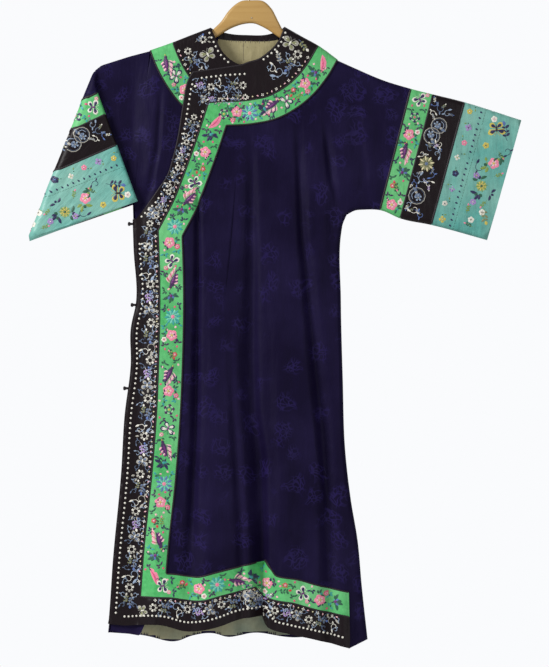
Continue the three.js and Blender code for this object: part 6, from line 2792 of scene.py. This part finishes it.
@dataclass(frozen=True)
class Hanger:
    """The wooden hanger with its nail, and the wire hook."""

    half: float = 6.2
    corner: float = 6.0
    nail: tuple[float, float] = (6.0, -98.0)
    hook_middle: float = -21.0
    hook_radius: float = 23.0
    wire_radius: float = 2.0

    @staticmethod
    def _outline() -> Line:
        """Return the hanger's closed outline: arms just below the shoulders, and an arch between them.

        Returns:
            The closed outline.
        """
        left = part_of(SHOULDER_LEFT, (-190, -161), (-86, -121))
        right = part_of(SHOULDER_RIGHT, (82, -120), (178, -181))
        arch = smoothed(line_of(
            (-76, -122), (-58, -104), (-44, -84), (-30, -70), (-17, -62), (6, -60), (30, -62),
            (47, -77), (59, -99), (70, -121),
        ), 4.0)
        below = smoothed(line_of(
            (178, -204), (64, -139), (30, -117), (10, -109), (-10, -110), (-37, -119),
            (-67, -137), (-186, -182),
        ), 6.0)
        return np.vstack([offset_line(left, 2.8), arch, offset_line(right, 2.8), below])

    def build(self, wood: bpy.types.Material, steel: bpy.types.Material) -> None:
        """Carve the wood, drive the nail and bend the hook.

        Args:
            wood: The wood's finish.
            steel: The steel's finish.
        """
        outline = resampled_closed(self._outline())
        closed = np.vstack([outline[-1:], outline, outline[:1]])
        rings = []
        angles = np.radians(np.linspace(-90.0, 90.0, 13))
        for angle in angles:
            inset = offset_line(closed, self.corner * (1.0 - math.cos(angle)))[1:-1]
            flank = (self.half - self.corner) * np.sign(round(math.sin(angle), 6))
            y = flank + self.corner * math.sin(angle)
            rings.append(np.stack([inset[:, 0], np.full(len(inset), y), inset[:, 1]], axis=1))
        count = len(outline)
        points = np.vstack(rings)
        mesh = bpy.data.meshes.new("hanger_wood_shaped")
        faces = ring_faces(len(rings), count)
        faces.append(list(range(count))[::-1])
        faces.append([len(points) - count + k for k in range(count)])
        mesh.from_pydata((points * MM).tolist(), [], faces)
        mesh.materials.append(wood)
        mesh.shade_smooth()
        mesh.set_sharp_from_angle(angle=math.radians(50))
        declare(linked("hanger_wood_shaped", mesh), ["hanger_wood"])
        self._nail(steel)
        self._hook(steel)

    def _nail(self, steel: bpy.types.Material) -> None:
        """Drive a small nail into the arch.

        Args:
            steel: The steel's finish.
        """
        data = MeshData()
        turns = np.exp(2j * math.pi * np.arange(12) / 12)
        rows = ((1.0, -6.2), (1.3, -6.45), (1.1, -6.75), (0.4, -6.9))
        points = np.vstack([
            np.stack([self.nail[0] + r * turns.real, np.full(12, y), self.nail[1] + r * turns.imag], axis=1)
            for r, y in rows
        ])
        faces = ring_faces(len(rows), 12)
        faces += [(36 + k, 36 + (k + 1) % 12, 47, 47) for k in range(11)]
        data.add(points, np.array(faces), points[:, [0, 2]])
        declare(data.built("hanger_nail", steel), [])

    def _hook(self, steel: bpy.types.Material) -> None:
        """Bend the wire hook, which starts in the wood.

        Args:
            steel: The steel's finish.
        """
        turns = np.radians(np.arange(-55.0, 206.0, 8.0))
        stem = smoothed(line_of((0, -72.7), (0, -58), (0.5, -52), (3, -47), (8, -43)), 3.0)
        loop = self.hook_radius * np.stack([np.cos(turns), np.sin(turns)], axis=1)
        line = np.vstack([stem, loop + [0.0, self.hook_middle]])
        data = MeshData()
        tube(data, np.stack([line[:, 0], np.zeros(len(line)), line[:, 1]], axis=1), self.wire_radius, 14)
        piece = data.built("hanger_hook_bent", steel)
        declare(piece, ["hanger_hook"])


@dataclass
class Studio:
    """A pale floor, soft lights and the camera at the photograph's angle."""

    centre: tuple[float, float] = (0.0535, -0.760)
    distance: float = 6.0
    floor_height: float = -1.6

    def build(self) -> None:
        """Make the floor, the world, the lights and the camera."""
        scene = bpy.context.scene
        scene.view_settings.view_transform = "Standard"
        self._floor()
        self._world(scene)
        self._lamp("key", (-3.3, -2.2, 1.2), 1.4, 200.0)
        self._lamp("fill", (2.2, -4.2, -0.2), 2.6, 45.0)
        self._lamp("rear", (1.5, 3.4, 0.8), 2.6, 50.0)
        camera = bpy.data.cameras.new("camera")
        camera.sensor_fit = "VERTICAL"
        camera.sensor_height = 24.0
        camera.lens = 102.8
        holder = linked("camera", camera)
        holder.location = (self.centre[0], -self.distance, self.centre[1])
        holder.rotation_euler = (math.radians(90), 0.0, 0.0)
        scene.camera = holder

    def _floor(self) -> None:
        """Lay a pale round floor under the robe."""
        ring = [(1.1 * math.cos(a), 1.1 * math.sin(a)) for a in np.linspace(0, 2 * math.pi, 65)[:-1]]
        mesh = bpy.data.meshes.new("floor")
        mesh.from_pydata([(x + 0.05, y, self.floor_height) for x, y in ring], [], [list(range(64))])
        material, tree = new_material("matt_floor_paint")
        grain = add_node(tree, "ShaderNodeTexNoise", {}, {"Scale": 8.0, "Detail": 3.0})
        tone = add_node(
            tree, "ShaderNodeMix", {"data_type": "RGBA"},
            {6: colour("#e9e8e6"), 7: colour("#f1f1ef")}, {0: grain.outputs[0]},
        )
        shader = add_node(
            tree, "ShaderNodeBsdfPrincipled", {}, {"Roughness": 0.9}, {"Base Color": tone.outputs[2]}
        )
        finish_tree(tree, shader)
        mesh.materials.append(material)
        linked("floor", mesh)

    def _world(self, scene: bpy.types.Scene) -> None:
        """Give an even white surround that lights softly.

        Args:
            scene: The scene.
        """
        world = bpy.data.worlds.new("white_surround")
        world.use_nodes = True
        tree = world.node_tree
        tree.nodes.clear()
        seen = add_node(tree, "ShaderNodeLightPath")
        soft = add_node(tree, "ShaderNodeBackground", {}, {"Color": (1.0, 1.0, 1.0, 1.0), "Strength": 0.36})
        clear = add_node(tree, "ShaderNodeBackground", {}, {"Color": colour("#fafbfd"), "Strength": 1.0})
        both = add_node(tree, "ShaderNodeMixShader", {}, {}, {
            0: seen.outputs["Is Camera Ray"], 1: soft.outputs[0], 2: clear.outputs[0],
        })
        out = add_node(tree, "ShaderNodeOutputWorld")
        tree.links.new(both.outputs[0], out.inputs["Surface"])
        scene.world = world

    def _lamp(self, name: str, place: tuple[float, float, float], size: float, power: float) -> None:
        """Add a square soft light that faces the robe's middle.

        Args:
            name: Its name.
            place: Where it hangs.
            size: Length of its sides, in metres.
            power: Its power, in watts.
        """
        lamp = bpy.data.lights.new(name, "AREA")
        lamp.size = size
        lamp.energy = power
        holder = linked(name, lamp)
        holder.location = place
        aim = np.array([self.centre[0], 0.0, self.centre[1]]) - np.array(place)
        flat = math.hypot(aim[0], aim[1])
        holder.rotation_euler = (math.atan2(flat, -aim[2]), 0.0, math.atan2(aim[1], aim[0]) - math.pi / 2)


def main() -> None:
    """Build every part and report it."""
    logging.basicConfig(level=logging.INFO, format="%(message)s")
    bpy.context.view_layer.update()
    robe = Robe(
        # Deep navy damask: dull between its figures, which catch a little more light, and paler soft
        # patches of painted light
        navy=WovenSilk(
            "navy_silk_damask", "#120c27", "#231b49", 0.46, 0.05, 0.0, 1.8, 26.0, 0.5, "#272046", 0.5
        ).made(),
        # Brownish black satin: worn, with a low lustre
        black=WovenSilk(
            "brownish_black_satin", "#0e080a", "#1b1217", 0.42, 0.14, 0.0, 1.2, wrinkle=0.6, wear_and_lit_share=0.0
        ).made(),
        # Green woven ribbon: matt, slightly mottled, with pale soft patches of painted highlight
        ribbon=WovenSilk(
            "green_woven_ribbon", "#12813a", "#63c478", 0.5, 0.25, 0.02, 2.4,
            wrinkle=0.6, worn_and_lit_tone="#9ad6a0", wear_and_lit_share=0.5,
        ).made(),
        # Turquoise satin: smooth, with faint streaks, and paler soft patches of painted light
        turquoise=WovenSilk(
            "turquoise_satin", "#35827c", "#6aaea3", 0.4, 0.25, 0.03, 1.4,
            wrinkle=1.0, worn_and_lit_tone="#a4c9b8", wear_and_lit_share=0.6,
        ).made(),
        # Plain lining silk, yellowed
        beige=WovenSilk(
            "yellowed_lining_silk", "#8f855e", "#aba27e", 0.6, 0.25, 0.1,
            wrinkle=0.6, worn_and_lit_tone="#7b6f4c", wear_and_lit_share=0.4,
        ).made(),
        # Faded grey-green lining silk
        grey_green=WovenSilk(
            "faded_lining_silk", "#55645b", "#8d9c8d", 0.6, 0.25, 0.1,
            wrinkle=0.9, worn_and_lit_tone="#b0a47c", wear_and_lit_share=0.95,
        ).made(),
    )
    robe.build()
    cord = TwistedCord().made()
    steel = DrawnSteel().made()
    work = Embroidery({thread: SilkFloss(thread).made() for thread in Thread}, cord)
    sewn = work.build()
    work.build_piping()
    for name, height in (("knot_top", -530.0), ("knot_middle", -700.0), ("knot_low", -875.0)):
        KnotButton(name, height).build(cord)
    Hanger().build(OiledWood().made(), steel)
    robe.declare_sheets()
    Studio().build()


if __name__ == "__main__":
    main()
